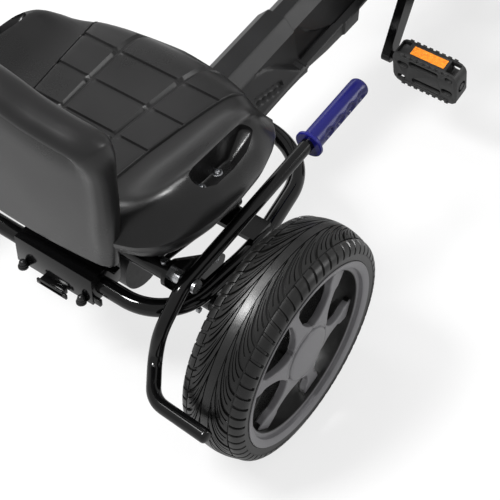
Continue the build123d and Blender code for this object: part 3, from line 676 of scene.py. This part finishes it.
def onFace(profile):
    return [(rimLook["face"] + out, radius) for out, radius in profile]


def makeRim():
    look, spoke = rimLook, makeSpoke()
    (ribLow, ribHigh), front = look["rib"], Vector((look["face"], 0, 0))
    parts = [spun("ring", ringProfile, look["steps"])]
    for number in range(look["spokes"]):
        arm = copyOf(spoke, "arm")
        turn(arm, look["firstSpoke"] + 360 / look["spokes"] * number, "X")
        parts.append(arm)
    bpy.data.objects.remove(spoke)
    parts.append(spun("hub", onFace(hubProfile), look["hubSteps"]))
    for number in range(look["spokes"]):     # stiffening ribs on the back of the web
        rib = block("rib", front + Vector(ribLow), front + Vector(ribHigh), look["ribBevel"])
        turn(rib, look["firstSpoke"] + 360 / look["spokes"] * number, "X")
        parts.append(rib)
    rim = joinAll("rim", parts)
    smooth(rim, 35)
    rim.data.materials.append(finish["rim_plastic"])
    # a second, dark slot that paints shade inside the rim
    rim.data.materials.append(finish["tyre"])
    for face in rim.data.polygons:      # painted shade: the barrel and the back of the web take the dark tyre finish, standing in for the deep shadow on the same plastic
        out = math.hypot(face.center.y, face.center.z)
        barrel = look["barrel"][0] < out < look["barrel"][1]
        webBack = face.center.x < look["webBack"][0] and out < look["webBack"][1]
        face.material_index = int(barrel or webBack)
    return rim


placeOnWheels(makeRim(), "_wheel_face", "rim_plastic", "_rim")
cap = spun("cap", onFace(capProfile), rimLook["hubSteps"])
smooth(cap, 30)
placeOnWheels(cap, "_cap", "rim_plastic", "_hubcap")
print("rims done")


# The seat pan is one closed form from two sheets that meet along its widest line. Its front lip's
# rows pass from the edge's own curve, lipWide across, to a straight row at lipEnd.
panLook = {"roll": 24, "foot": 230, "step": 2.2, "longGroove": 3.6, "crossGroove": 2.4, "longAt": 0.455,
           "crossAt": (100.5, 48, -2.4), "rowEvery": 4.5, "lipSide": 129, "lipEnd": 112, "lipWide": 146,
           "lipTile": 106, "tileClear": 4, "tileFront": 158, "grooveFront": 163, "grooveEnd": 0.985,
           "flare": 8}
lipSteps = (0, 0.008, 0.025, 0.05, 0.085, 0.13, 0.18, 0.24, 0.31, 0.40, 0.5, 0.6, 0.7, 0.8, 0.9, 1)
# (how far from a cross groove's middle, is it sunk)
acrossGroove = ((3.6, 0), (2.3, 1), (-2.3, 1), (-3.6, 0))
rearRows = (-60, -64, -68, -72, -76, -80, -84, -88, -92, -95, -98, -100, -102, -103.2, -104)
# (distance in from the edge, share of the rim's height over the foot that the underside still has)
underFall = ((0, 1), (1.5, 0.92), (3, 0.85), (6, 0.74), (10, 0.62), (16, 0.46), (25, 0.27), (38, 0.1),
             (55, 0))
# by x: where the front edge is; by y: half widths across, or heights
frontLip = ((0, 164), (11, 163.4), (41, 160), (65, 156), (93, 147), (108, 140), (121, 133),
            (135, 129.5), (146, 129))
sideLine = ((-104, 105), (-95, 135), (-80, 155), (-61, 169), (-40, 177), (-10, 183), (28, 184), (68, 180),
            (95, 172), (110, 165), (120, 157), (129, 146))
tileHalf = ((-104, 78), (-43, 79), (-2.4, 80.5), (48, 88), (100.5, 96), (129, 101), (164, 106))
tileHeight = ((-104, 316), (-43, 316), (-2.4, 316.3), (48, 320.6), (100.5, 323), (125, 321.5), (145, 316),
              (164, 307))
crestAcross = ((-104, 88), (-95, 97), (-79, 113), (-66, 126), (-52, 137), (-40, 143), (-25, 146), (0, 148),
               (60, 148), (90, 146), (105, 143), (129, 139))
crestHeight = ((-104, 300), (-95, 303), (-79, 311), (-66, 320), (-52, 330), (-40, 336), (-25, 341), (0, 343),
               (70, 343), (88, 339), (104, 328), (118, 318), (129, 312))
rimHeight = ((-104, 284), (-60, 290), (0, 296), (80, 298), (129, 303), (164, 303))


def smoothTable(table, reach):
    # the same table read with its corners softened
    def read(x):
        return sum(between(x + reach * k / 3, table) for k in (-3, -2, -1, 0, 1, 2, 3)) / 7
    return read


sideAt, lipAt, rimHeightAt = smoothTable(sideLine, 5), smoothTable(frontLip, 5), smoothTable(rimHeight, 9)
crestAcrossAt, crestHeightAt = smoothTable(crestAcross, 9), smoothTable(crestHeight, 9)
tileHeightAt = smoothTable(tileHeight, 9)


def panColumns():
    # (share of the tile half width, or 1 + share of the way to the side; groove depth)
    groove, depth = panLook["longAt"], panLook["longGroove"]
    middle = [(0, 0), (0.13, 0), (0.26, 0), (0.37, 0), (groove - 0.050, 0), (groove - 0.016, depth),
              (groove + 0.016, depth), (groove + 0.050, 0), (0.56, 0), (0.68, 0), (0.80, 0), (0.90, 0),
              (0.965, 0), (0.972, 0.1), (0.98, 0.6), (0.99, 1.5)]
    outside = [1, 1.012, 1.03, 1.07, 1.12, 1.18, 1.24, 1.30, 1.36, 1.42, 1.48, 1.53, 1.58, 1.63, 1.68,
               1.73, 1.78, 1.825, 1.86, 1.89, 1.915, 1.94, 1.96, 1.975, 1.987, 1.995, 2]
    half = middle + [(share, 0) for share in outside]
    return [(-share, depth) for share, depth in reversed(half[1:])] + half


def panRows():
    # (kind, value, groove depth)
    look = panLook
    rows = [("lip", step, 0) for step in lipSteps]
    y = look["lipEnd"] - 2
    for groove in look["crossAt"]:
        while y > groove + 6:
            rows.append(("flat", y, 0))
            y -= look["rowEvery"]
        rows += [("flat", groove + far, sunk * look["crossGroove"]) for far, sunk in acrossGroove]
        y = groove - 8
    while y > rearRows[0] + 2:
        rows.append(("flat", y, 0))
        y -= look["rowEvery"]
    return rows + [("flat", y, 0) for y in rearRows]


def innerHeight(x, y):
    tile, crest, top = between(y, tileHalf), crestAcrossAt(y), crestHeightAt(y)
    low, flare = tileHeightAt(y) - panLook["step"], panLook["flare"]
    if x <= tile:
        return low
    if x <= crest:
        s = (x - tile) / (crest - tile)
        return low + (top - low) * (0.55 * s ** 2.4 + 0.45 * ease(s ** 1.6))
    return top - 0.5 * (x - crest) + 0.5 * flare * (1 - math.exp(-(x - crest) / flare))


def outlineOfPan():
    front = [(x, lipAt(x)) for x in range(0, panLook["lipWide"], 3)]
    side = [(sideAt(y), y) for y in range(panLook["lipSide"], rearRows[-1] - 1, -3)]
    return front + side + [(sideLine[0][1], rearRows[-1]), (0, rearRows[-1])]


def distanceTo(line, x, y):
    best = 1e9
    for (x0, y0), (x1, y1) in zip(line, line[1:]):
        dx, dy = x1 - x0, y1 - y0
        s = ((x - x0) * dx + (y - y0) * dy) / (dx * dx + dy * dy or 1)
        s = min(max(s, 0), 1)
        best = min(best, (x - x0 - s * dx) ** 2 + (y - y0 - s * dy) ** 2)
    return math.sqrt(best)


def panPlace(kind, value, u, first):
    # where a column crosses a row
    look = panLook
    side, end, startTile = look["lipSide"], look["lipEnd"], look["lipTile"]
    if kind == "lip":
        ahead = side + (end - side) * value
        tile = startTile + (between(end, tileHalf) - startTile) * value
    else:
        ahead, tile = value, between(value, tileHalf)
    wide = look["lipWide"] if first else sideAt(ahead)
    tile = min(tile, wide - look["tileClear"])
    x = tile * u if u <= 1 else tile + (wide - tile) * (u - 1)
    if kind == "flat":
        return x, value
    startX = startTile * u if u <= 1 else startTile + (look["lipWide"] - startTile) * (u - 1)
    pull = max(0, u - 1) ** 2
    return x, (lipAt(startX) * (1 - value) + end * value) * (1 - pull) + ahead * pull


def makePan():
    look, columns, rows, edge = panLook, panColumns(), panRows(), outlineOfPan()
    over, under = [], []
    for j, (kind, value, cross) in enumerate(rows):
        topRow, lowRow = [], []
        for i, (share, groove) in enumerate(columns):
            u = abs(share)
            x, y = panPlace(kind, value, u, j == 0)
            border = j in (0, len(rows) - 1) or i in (0, len(columns) - 1)
            gap = 0 if border else distanceTo(edge, x, y)
            rim, inner = rimHeightAt(y), innerHeight(x, y)
            if u <= 1 and y < look["tileFront"]:
                sink = 0 if cross and u > look["grooveEnd"] else max(groove, cross)
                inner += look["step"] * ease((look["tileFront"] - y) / 10)
                inner -= sink * ease((look["grooveFront"] - y) / 6)
            rolled = math.sqrt(1 - (1 - min(gap / look["roll"], 1)) ** 2)
            x = -x if share < 0 else x
            lowRow.append((x, y, look["foot"] + (rim - look["foot"]) * between(gap, underFall)))
            topRow.append((x, y, rim + (inner - rim) * rolled))
        over.append(topRow)
        under.append(lowRow)
    return closedGrid("seatPan", [(over, True), (under, False)])


# Pockets beside the tiles: the outline at its top and at its floor, and the levels it passes
pocketUpper = ((160, 74), (172, 52), (175.5, 24), (175.5, -5), (168, -21), (158, -25.5), (150, -22),
               (148, -12), (148, 18), (147, 53), (148, 68))
pocketLower = ((157, 44), (164, 36), (168, 20), (168, -4), (163, -17), (157, -20), (152.5, -18), (151, -11),
               (151, 14), (151, 36), (152, 42))
pocketLevels = ((pocketUpper, 352), (pocketUpper, 334), (pocketLower, 313))


def cutPocket(pan, side):
    count, points = len(pocketUpper), []
    for line, z in pocketLevels:
        points += [(side * x, y, z) for x, y in line]
    faces = [tuple(range(count))[::-1], tuple(range(2 * count, 3 * count))]
    for a in (0, count):
        for i in range(count):
            n = (i + 1) % count
            faces.append((a + i, a + n, a + count + n, a + count + i))
    cutter = fromPoints("pocketCutter", points, faces)
    tidy(cutter)
    bevelEdges(cutter, 3, 3, 28)
    cutAway(pan, cutter)


pan = makePan()
cutPocket(pan, 1)
cutPocket(pan, -1)
smooth(pan, 38)
settle(pan)
give(pan, "chassis", "seat_plastic", "seat_shell")
print("seat pan done")


# foot, crown and corner: (across, up) of the back's outline; hollow: sunk below the rolled top
backLook = {"foot": (104, 230), "crown": (0, 502), "corner": (140, 452), "rear": -92, "leanFrom": 235,
            "lean": 13, "sweep": 800, "half": 13, "edge": 15, "topRoll": 23, "hollow": 7,
            "rollFrom": 0.74, "rollOver": 0.2}
beadLook = {"height": 3, "at": 11, "wide": 7, "from": 250}
backSteps = [0, 0.05, 0.1, 0.15, 0.2, 0.26, 0.32, 0.38, 0.44, 0.5, 0.56, 0.62, 0.68, 0.73, 0.78, 0.82, 0.86,
             0.89, 0.92, 0.94, 0.96, 0.975, 0.985, 0.993, 1]
footSteps = [0, 0.01, 0.025, 0.04, 0.06]
backSide = ((0, (104, 230)), (0.3, (121, 300)), (0.55, (133, 354)), (0.78, (141, 402)), (0.9, (144, 430)),
            (0.96, (143, 443)), (1, (140, 452)))
backTop = ((0, (0, 502)), (0.2, (28, 500)), (0.36, (50, 491)), (0.5, (70, 480)), (0.7, (99, 470)),
           (0.88, (124, 463)), (0.95, (133, 458)), (1, (140, 452)))


def along(table, t):
    return Vector((between(t, [(a, p[0]) for a, p in table]), between(t, [(a, p[1]) for a, p in table])))


def softAlong(table, t, reach=0.05):
    total = Vector((0, 0))
    for k in (-2, -1, 0, 1, 2):
        total += along(table, min(max(t + reach * k / 2, 0), 1))
    return total / 5 if 0.02 < t < 0.98 else along(table, t)


def backPlace(u, t):
    # u: share of the way to the side, t: share of the way up, blended between the four edges
    foot, crown, corner = (Vector(backLook[name]) for name in ("foot", "crown", "corner"))
    bottom, top = Vector((foot.x * u, foot.y)), softAlong(backTop, u)
    left, right = Vector((0, foot.y + (crown.y - foot.y) * t)), softAlong(backSide, t)
    flat = bottom * (1 - t) + top * t + left * (1 - u) + right * u
    flat -= (Vector((0, foot.y)) * (1 - u) + foot * u) * (1 - t)
    return flat - (crown * (1 - u) + corner * u) * t


def makeBack():
    look, foot = backLook, backLook["foot"][1]
    edge = [tuple(softAlong(backSide, k / 60)) for k in range(61)]
    edge += [tuple(softAlong(backTop, 1 - k / 60)) for k in range(1, 61)]
    front, rear = [], []
    for t in footSteps + backSteps[2:]:
        frontRow, rearRow = [], []
        for share in [-s for s in reversed(backSteps[1:])] + backSteps:
            u = abs(share)
            x, z = backPlace(u, t)
            border = u == 1 or t in (0, 1)
            gap = 0 if border else min(distanceTo(edge, x, z), (z - foot) * 1.4)
            high = ease((t - look["rollFrom"]) / look["rollOver"])
            roll = look["edge"] + (look["topRoll"] - look["edge"]) * high
            thick = look["half"] + (look["topRoll"] - look["half"]) * high
            half = thick * math.sqrt(max(0, 1 - (1 - min(gap / roll, 1)) ** 2))
            bead = beadLook["height"] * math.exp(-((gap - beadLook["at"]) / beadLook["wide"]) ** 2)
            bead *= min(gap / 4, 1) * ease((z - beadLook["from"]) / 60) * (1 - high)
            sunk = (look["topRoll"] - look["half"] + look["hollow"]) * high * ease((gap - roll * 0.9) / 14)
            middle = look["rear"] - 1 - (z - look["leanFrom"]) * math.tan(math.radians(look["lean"]))
            middle += look["sweep"] - math.sqrt(look["sweep"] ** 2 - x * x)
            x = -x if share < 0 else x
            frontRow.append((x, middle + half - (thick - look["half"]) * ease((gap - roll * 0.9) / 16), z))
            rearRow.append((x, middle - half - bead + sunk, z))
        front.append(frontRow)
        rear.append(rearRow)
    return closedGrid("seatBack", [(front, True), (rear, False)])


back = makeBack()
smooth(back, 60)
settle(back)
give(back, "chassis", "seat_plastic", "seat_shell")
print("seat back done")


gripLook = {"radius": 12.5, "length": 107, "slope": 8.6, "plainFrom": 8.2, "ring": 1.5, "rings": 60,
            "steps": 112, "skin": (11, 13.2)}
# four dents for the fingers: where the first is, how far apart, half length, half width, way round
dentLook = {"count": 4, "first": 38, "every": 22, "long": 8.8, "wide": 6.6, "around": 3, "deep": 2.6,
            "steep": 4}
# (distance from the end, radius)
gripStart = ((0, 0), (0, 9), (0, 16.4), (0.9, 17.4), (3.8, 17.5), (4.8, 16.6), (5, 14.2),
             (6.2, 13), (8.2, 12.6))
gripEnd = ((4, 12.4), (2, 11.9), (0.7, 10.9), (0.1, 9.6), (0, 8), (0, 0))


def makeGrip():
    look, dent = gripLook, dentLook
    half, radius = look["length"] / 2, look["radius"]
    profile = [(-half + inward, out) for inward, out in gripStart]
    for step in range(1, look["rings"]):
        profile.append((-half + look["plainFrom"] + step * look["ring"], radius))
    profile += [(half - inward, out) for inward, out in gripEnd]
    grip = spun("grip", profile, look["steps"], "Y")
    for vertex in grip.data.vertices:
        across, ahead, up = vertex.co
        reach = math.hypot(across, up)
        if not look["skin"][0] <= reach <= look["skin"][1]:
            continue
        around = math.atan2(up, across) * radius      # mm round from the outer side
        sink = 0
        for number in range(dent["count"]):
            away = (ahead - dent["first"] + dent["every"] * number) / dent["long"]
            far = math.hypot(away, (around - dent["around"]) / dent["wide"])
            sink = max(sink, dent["deep"] * ease((1 - far) * dent["steep"]))
        vertex.co.x *= (reach - sink) / reach
        vertex.co.z *= (reach - sink) / reach
    turn(grip, look["slope"], "X")
    return grip


gripLow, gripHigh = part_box("brake_grip")
grip = makeGrip()
smooth(grip, 40)
settleAt(grip, (gripLow + gripHigh) / 2)
give(grip, "brake", "grip_plastic", "brake_grip")
print("grip done")


# The cover over the beam: two lengths of one folded section. drop: how far down from the ridge
coverLook = {"ridge": 230, "ridgeAhead": 251, "slope": math.tan(math.radians(9.4)), "wall": 2.6,
             "step": 2.5, "frontInset": 4, "sideSteps": 24, "sideTop": 16.4, "sideTall": 40, "sideOut": 28,
             "lean": 0.25, "raisedRear": 0.34, "raisedFront": 0.10, "crease": 3, "bevel": 0.7,
             "edgeOut": 2, "edgeFrom": 437, "edgeTo": 473}
ridgePoints = [(0, 0), (6, 0), (12.3, 0), (12.9, 0.4)]
bendLook = {"steps": 6, "across": 15, "down": 15.6}
# the long dent in the rear length's side: from and to ahead, drop there, and its own measures
coverDent = {"from": 248, "to": 300, "drop": 41.5, "fall": 0.16, "deep": 4.5, "half": 4.2, "soft": 1.2,
             "end": 3}
# by ahead: drop of the lower edge; (drop, ahead) of the creases
stripDrop = ((132, 63), (266, 63.5), (302, 63.8), (332, 65.4), (355, 69.2), (400, 76.7), (435, 79.5),
             (471, 81.3), (473, 67), (600, 67))
creaseRear = ((236, 16.5), (263, 17.5), (287, 22), (300, 29), (312, 37), (325, 46), (337, 54), (360, 56))
creaseFront = ((352, 14), (358, 15.5), (366, 21), (374, 29.5), (383, 37), (391, 42), (403, 48), (425, 56))


def raisedShare(ahead, drop, front):
    # 1 where the side wall stands out, 0 in the hollow between the two creases
    line = [(d, y) for y, d in (creaseFront if front else creaseRear)]
    past = ahead - between(drop, line)
    return ease((past if front else -past) / coverLook["crease"])


def dentDepth(ahead, drop):
    dent = coverDent
    if not dent["from"] < ahead < dent["to"]:
        return 0
    middle = dent["drop"] + (ahead - coverLook["ridgeAhead"]) * dent["fall"]
    ends = ease((ahead - dent["from"]) / dent["end"]) * ease((dent["to"] - ahead) / dent["end"])
    return dent["deep"] * ease((dent["half"] - abs(drop - middle)) / dent["soft"]) * ends


def coverColumn(ahead, front):
    look, bend, points = coverLook, bendLook, list(ridgePoints)
    inset = look["frontInset"] if front else 0
    x0, y0 = points[-1]
    for k in range(1, bend["steps"] + 1):
        points.append((x0 + bend["across"] * k / bend["steps"], y0 + bend["down"] * k / bend["steps"]))
    raised = look["raisedFront"] if front else look["raisedRear"]
    for step in range(1, look["sideSteps"] + 1):
        drop = look["sideTop"] + look["sideTall"] * step / look["sideSteps"]
        share = raisedShare(ahead, drop, front)
        out = look["sideOut"] + (drop - look["sideTop"]) * (look["lean"] + raised * share)
        points.append((out if front else out - dentDepth(ahead, drop), drop))
    edge = look["edgeOut"] if front and look["edgeFrom"] < ahead < look["edgeTo"] else 0
    last = points[-1][0]
    points += [(max(last + 1.5, 42), 58), (max(last + 2, 49), 60.5), (51 + edge, 61.2), (52 + edge, 62.6),
               (52 + edge, max(between(ahead, stripDrop), 64))]
    ridge = look["ridge"] + (ahead - look["ridgeAhead"]) * look["slope"]
    return [(max(x - inset, 0), ahead, ridge - drop - (inset if drop < 57 else 0)) for x, drop in points]


def makeCover(name, start, end, front):
    look, places, points = coverLook, [start], []
    while places[-1] < end - look["step"] - 0.1:
        places.append(places[-1] + look["step"])
    places.append(end)
    for ahead in places:
        right = coverColumn(ahead, front)
        points += [(-x, y, z) for x, y, z in reversed(right[1:])] + right
    cover = fromPoints(name, points, gridFaces(len(places), len(points) // len(places)))
    tidy(cover)
    if max(cover.data.polygons, key=lambda f: f.center.z).normal.z < 0:
        cover.data.flip_normals()
    useModifier(cover, "SOLIDIFY", thickness=look["wall"], offset=-1)
    bevelEdges(cover, look["bevel"], 2, 50)
    smooth(cover, 24)
    return cover


for name, start, end, front, node in (("cover_rear", 133, 349, False, "tunnel_rear"),
                                      ("cover_front", 338, 606, True, "tunnel_front")):
    cover = settle(makeCover(name, start, end, front))
    give(cover, "chassis", "cover_plastic", node)
print("beam cover done")


# the clamp on the rear tube: (low, high) corners of each block
clampLook = {"clamp": ((-42, -92, 147), (70, -44, 186.5)), "tab": ((-3, -99, 139), (31, -90, 148)),
             "lip": ((-8, -99, 138), (36, -96, 145)), "fold": ((69, -91, 150), (80, -87, 160)),
             "ear": ((69, -64, 178), (79, -54, 182))}
clampWall = 4
knobLook = {"across": (-29, 57), "ahead": -96.5, "up": 147}
knobProfile = ((0, 0), (0, 5.6), (0.5, 6.1), (2.6, 6.1), (3.1, 5.6), (3.1, 4.9), (3.5, 5.2), (5.2, 5.2),
               (5.6, 4.8), (5.6, 4), (6.4, 4.4), (8.4, 4.4), (10.2, 3.7), (11.4, 2.2), (11.8, 0))


def makeClamp():
    shell = block("clamp", *clampLook["clamp"])
    openUp(shell)
    pickFaces(shell, lambda c, n: n.z < -0.9 or n.y > 0.9)
    bpy.ops.mesh.delete(type="FACE")
    closeUp()
    useModifier(shell, "SOLIDIFY", thickness=clampWall, offset=-1)
    trims = [block(name, *clampLook[name]) for name in ("tab", "lip", "fold", "ear")]
    clamp = joinAll("clamp", [shell] + trims)
    bevelEdges(clamp, 0.9, 2, 40)
    smooth(clamp, 35)
    return clamp


clamp = settle(makeClamp())
give(clamp, "chassis", "frame_paint", "rear_clamp")
knobs = []
for across in knobLook["across"]:
    knob = spun("knob", knobProfile, 40)
    turn(knob, -90, "Y")
    shift(knob, across, knobLook["ahead"], knobLook["up"])
    knobs.append(knob)
knobPair = joinAll("knob_pair", knobs)
smooth(knobPair, 40)
settle(knobPair)
give(knobPair, "chassis", "cover_plastic", "clamp_knobs")
print("clamp done")


# the rounded end on the lever's tail, leaned as the tube is there
tailLook = {"across": 272, "ahead": -155.7, "up": 150, "lift": -5.5, "swing": -5.3}
tailProfile = ((-3, 0), (-3, 7.6), (0, 8.05), (1.6, 7.9), (3.2, 7.1), (4.4, 5.7), (5.2, 3.6), (5.5, 0))
tailEnd = spun("tailEnd", tailProfile, 40)
smooth(tailEnd, 45)
turn(tailEnd, tailLook["lift"], "Y")
turn(tailEnd, tailLook["swing"], "Z")
shift(tailEnd, tailLook["across"], tailLook["ahead"], tailLook["up"])
settle(tailEnd)
give(tailEnd, "brake", "frame_paint")


# the nose: a block raised at its rear edge, with a pressed frame on top; insets: (thickness, depth)
noseLook = {"low": (-112, 822, 153), "high": (112, 942, 176), "rise": 56, "round": 7,
            "insets": ((14, 0), (3, -3), (22, 0), (3, 3))}


def makeNose():
    look = noseLook
    top, rear = look["high"][2] - 1, look["low"][1] + 1
    middle = (look["low"][1] + look["high"][1]) / 2
    nose = block("nose", look["low"], look["high"])
    openUp(nose)
    pickEdges(nose, lambda a, b: min(a.z, b.z) > top and max(a.y, b.y) < rear)
    bpy.ops.transform.translate(value=(0, 0, look["rise"]))
    pickEdges(nose, lambda a, b: max(a.z, b.z) > top)
    bpy.ops.mesh.bevel(offset=look["round"], segments=4, affect="EDGES")
    pickFaces(nose, lambda c, n: n.z > 0.8 and abs(c.x) < 20 and abs(c.y - middle) < 12)
    for thickness, depth in look["insets"]:
        bpy.ops.mesh.inset(thickness=thickness, depth=depth)
    closeUp()
    smooth(nose, 32)
    return nose


nose = settle(makeNose())
give(nose, "chassis", "cover_plastic", "nose_cone")
print("tail end and nose done")


pedalLook = {"length": 97, "tall": 60, "thick": 25, "tilt": 15, "corner": 13, "barrel": 10.5,
             "teeth": 8, "firstTooth": -33, "everyTooth": 9.4, "toothHalf": 2.6, "railHalf": 34}
# x from, x to, y half, z from, z to, corner, and whether the far half's cut is at the same x
pedalCuts = ((-24, 20, 20, 11, 21, 4, False), (24.5, 41.5, 20, -14, -4, 4.9, False),
             (-42, -30, 20, -22, -14, 3.9, False), (-25.3, 25.3, 7.3, 27, 32, 0.3, False),
             (29, 43, 9.5, 15, 32, 0.3, True), (-43, -31, 9.5, 22, 32, 0.3, True))


def roundedBlock(name, low, high, corner, segments):
    # rounded at the four edges that run along y
    piece = block(name, low, high)
    openUp(piece)
    pickEdges(piece, lambda a, b: abs(a.y - b.y) > 1)
    bpy.ops.mesh.bevel(offset=corner, segments=segments, affect="EDGES")
    closeUp()
    return piece


def makePedal():
    look = pedalLook
    half, tall, thick = look["length"] / 2, look["tall"] / 2, look["thick"] / 2
    body = roundedBlock("pedal", (-half, -thick, -tall), (half, thick, tall), look["corner"], 3)
    for flip in (1, -1):
        for start, end, deep, low, high, corner, stays in pedalCuts:
            (start, end), (low, high) = sorted((start * flip, end * flip)), sorted((low * flip, high * flip))
            if stays and flip < 0:
                start, end = -end, -start
            cutAway(body, roundedBlock("cutter", (start, -deep, low), (end, deep, high), corner, 6))
    barrel = spun("barrel", (
        (-half - 1.5, 5.2), (-half - 1.5, 9), (-half + 1, look["barrel"]), (half - 14, look["barrel"]),
        (half - 8, 9.2), (half - 1, 9), (half, 8.2), (half, 5.2), (half - 2, 0), (-half + 2, 0)), 40)
    parts = [body, barrel]
    for face in (-1, 1):        # gripping teeth along the edges of both treads
        for row in (-1, 1):
            for step in range(look["teeth"]):
                x, wide = look["firstTooth"] + step * look["everyTooth"], look["toothHalf"]
                parts.append(block("tooth", (x - wide, face * (thick - 1.6), row * (tall - 2.4)),
                                   (x + wide, face * (thick + 1.3), row * (tall + 1.1))))
            parts.append(block("rail", (-look["railHalf"], face * (thick + 0.9), row * 24.2),
                               (look["railHalf"], face * (thick - 1.5), row * 26.2)))
    pedal = joinAll("pedal", parts)
    tidy(pedal, 0.001)
    bevelEdges(pedal, 0.5, 2, 42)
    turn(pedal, look["tilt"], "X")
    smooth(pedal, 35)
    return pedal


pedal = makePedal()
for name, side in (("right", 1), ("left", -1)):
    low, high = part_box("pedal_" + name)
    piece = settleAt(copyOf(pedal, "pedal_body_" + name), (low + high) / 2, side)
    give(piece, "pedal_" + name, "pedal_plastic", "pedal_" + name)
bpy.data.objects.remove(pedal)
print("pedals done")


# Bolts, on both sides of the seat; a hex bolt's axis points up or out
buttonBolts = {"radius": 4.3, "up": 313, "places": ((154, 20), (154, -8))}
hexBolts = ((140, -52, 229, 4.2, "up"), (128, -46, 228.5, 2.6, "up"), (168.5, 1, 206, 4.5, "out"),
            (168.5, -30, 150, 4, "out"))
# in shares of the radius: the head's three insets (thickness, depth) and its rounding
hexLook = {"insets": ((0.16, 0), (0.14, 0.07), (0.3, -0.16)), "round": 0.07, "sharp": 34.4}
buttonProfile = ((0, 0), (0, 1.45), (0.16, 1.45), (0.2, 1.38), (0.2, 1), (0.5, 0.94), (0.82, 0.66),
                 (0.92, 0.46), (0.92, 0.4), (0.35, 0.36), (0.35, 0))


def makeHexBolt(radius, height):
    deselect()
    bpy.ops.mesh.primitive_cylinder_add(vertices=6, radius=radius, depth=height, location=(0, 0, height / 2))
    bolt = newest("hexBolt")
    openUp(bolt)
    pickFaces(bolt, lambda c, n: n.z > 0.9)
    for thickness, depth in hexLook["insets"]:
        bpy.ops.mesh.inset(thickness=radius * thickness, depth=radius * depth)
    closeUp()
    bevelEdges(bolt, radius * hexLook["round"], 2, hexLook["sharp"])
    return bolt


bolts = []
for side in (1, -1):
    for across, ahead in buttonBolts["places"]:
        radius = buttonBolts["radius"]
        bolt = spun("seatBolt", [(radius * a, radius * r) for a, r in buttonProfile], 40)
        turn(bolt, -90, "Y")
        shift(bolt, side * across, ahead, buttonBolts["up"])
        bolts.append(bolt)
for side in (1, -1):
    for across, ahead, up, radius, axis in hexBolts:
        bolt = makeHexBolt(radius, radius)
        if axis == "out":
            turn(bolt, 90, "Y")
            if side < 0:
                turn(bolt, 180, "Z")
        shift(bolt, side * across, ahead, up)
        bolts.append(bolt)
seatBolts = joinAll("seat_bolts", bolts)
smooth(seatBolts, 35)
settle(seatBolts)
give(seatBolts, "chassis", "zinc")
print("fastenings done")
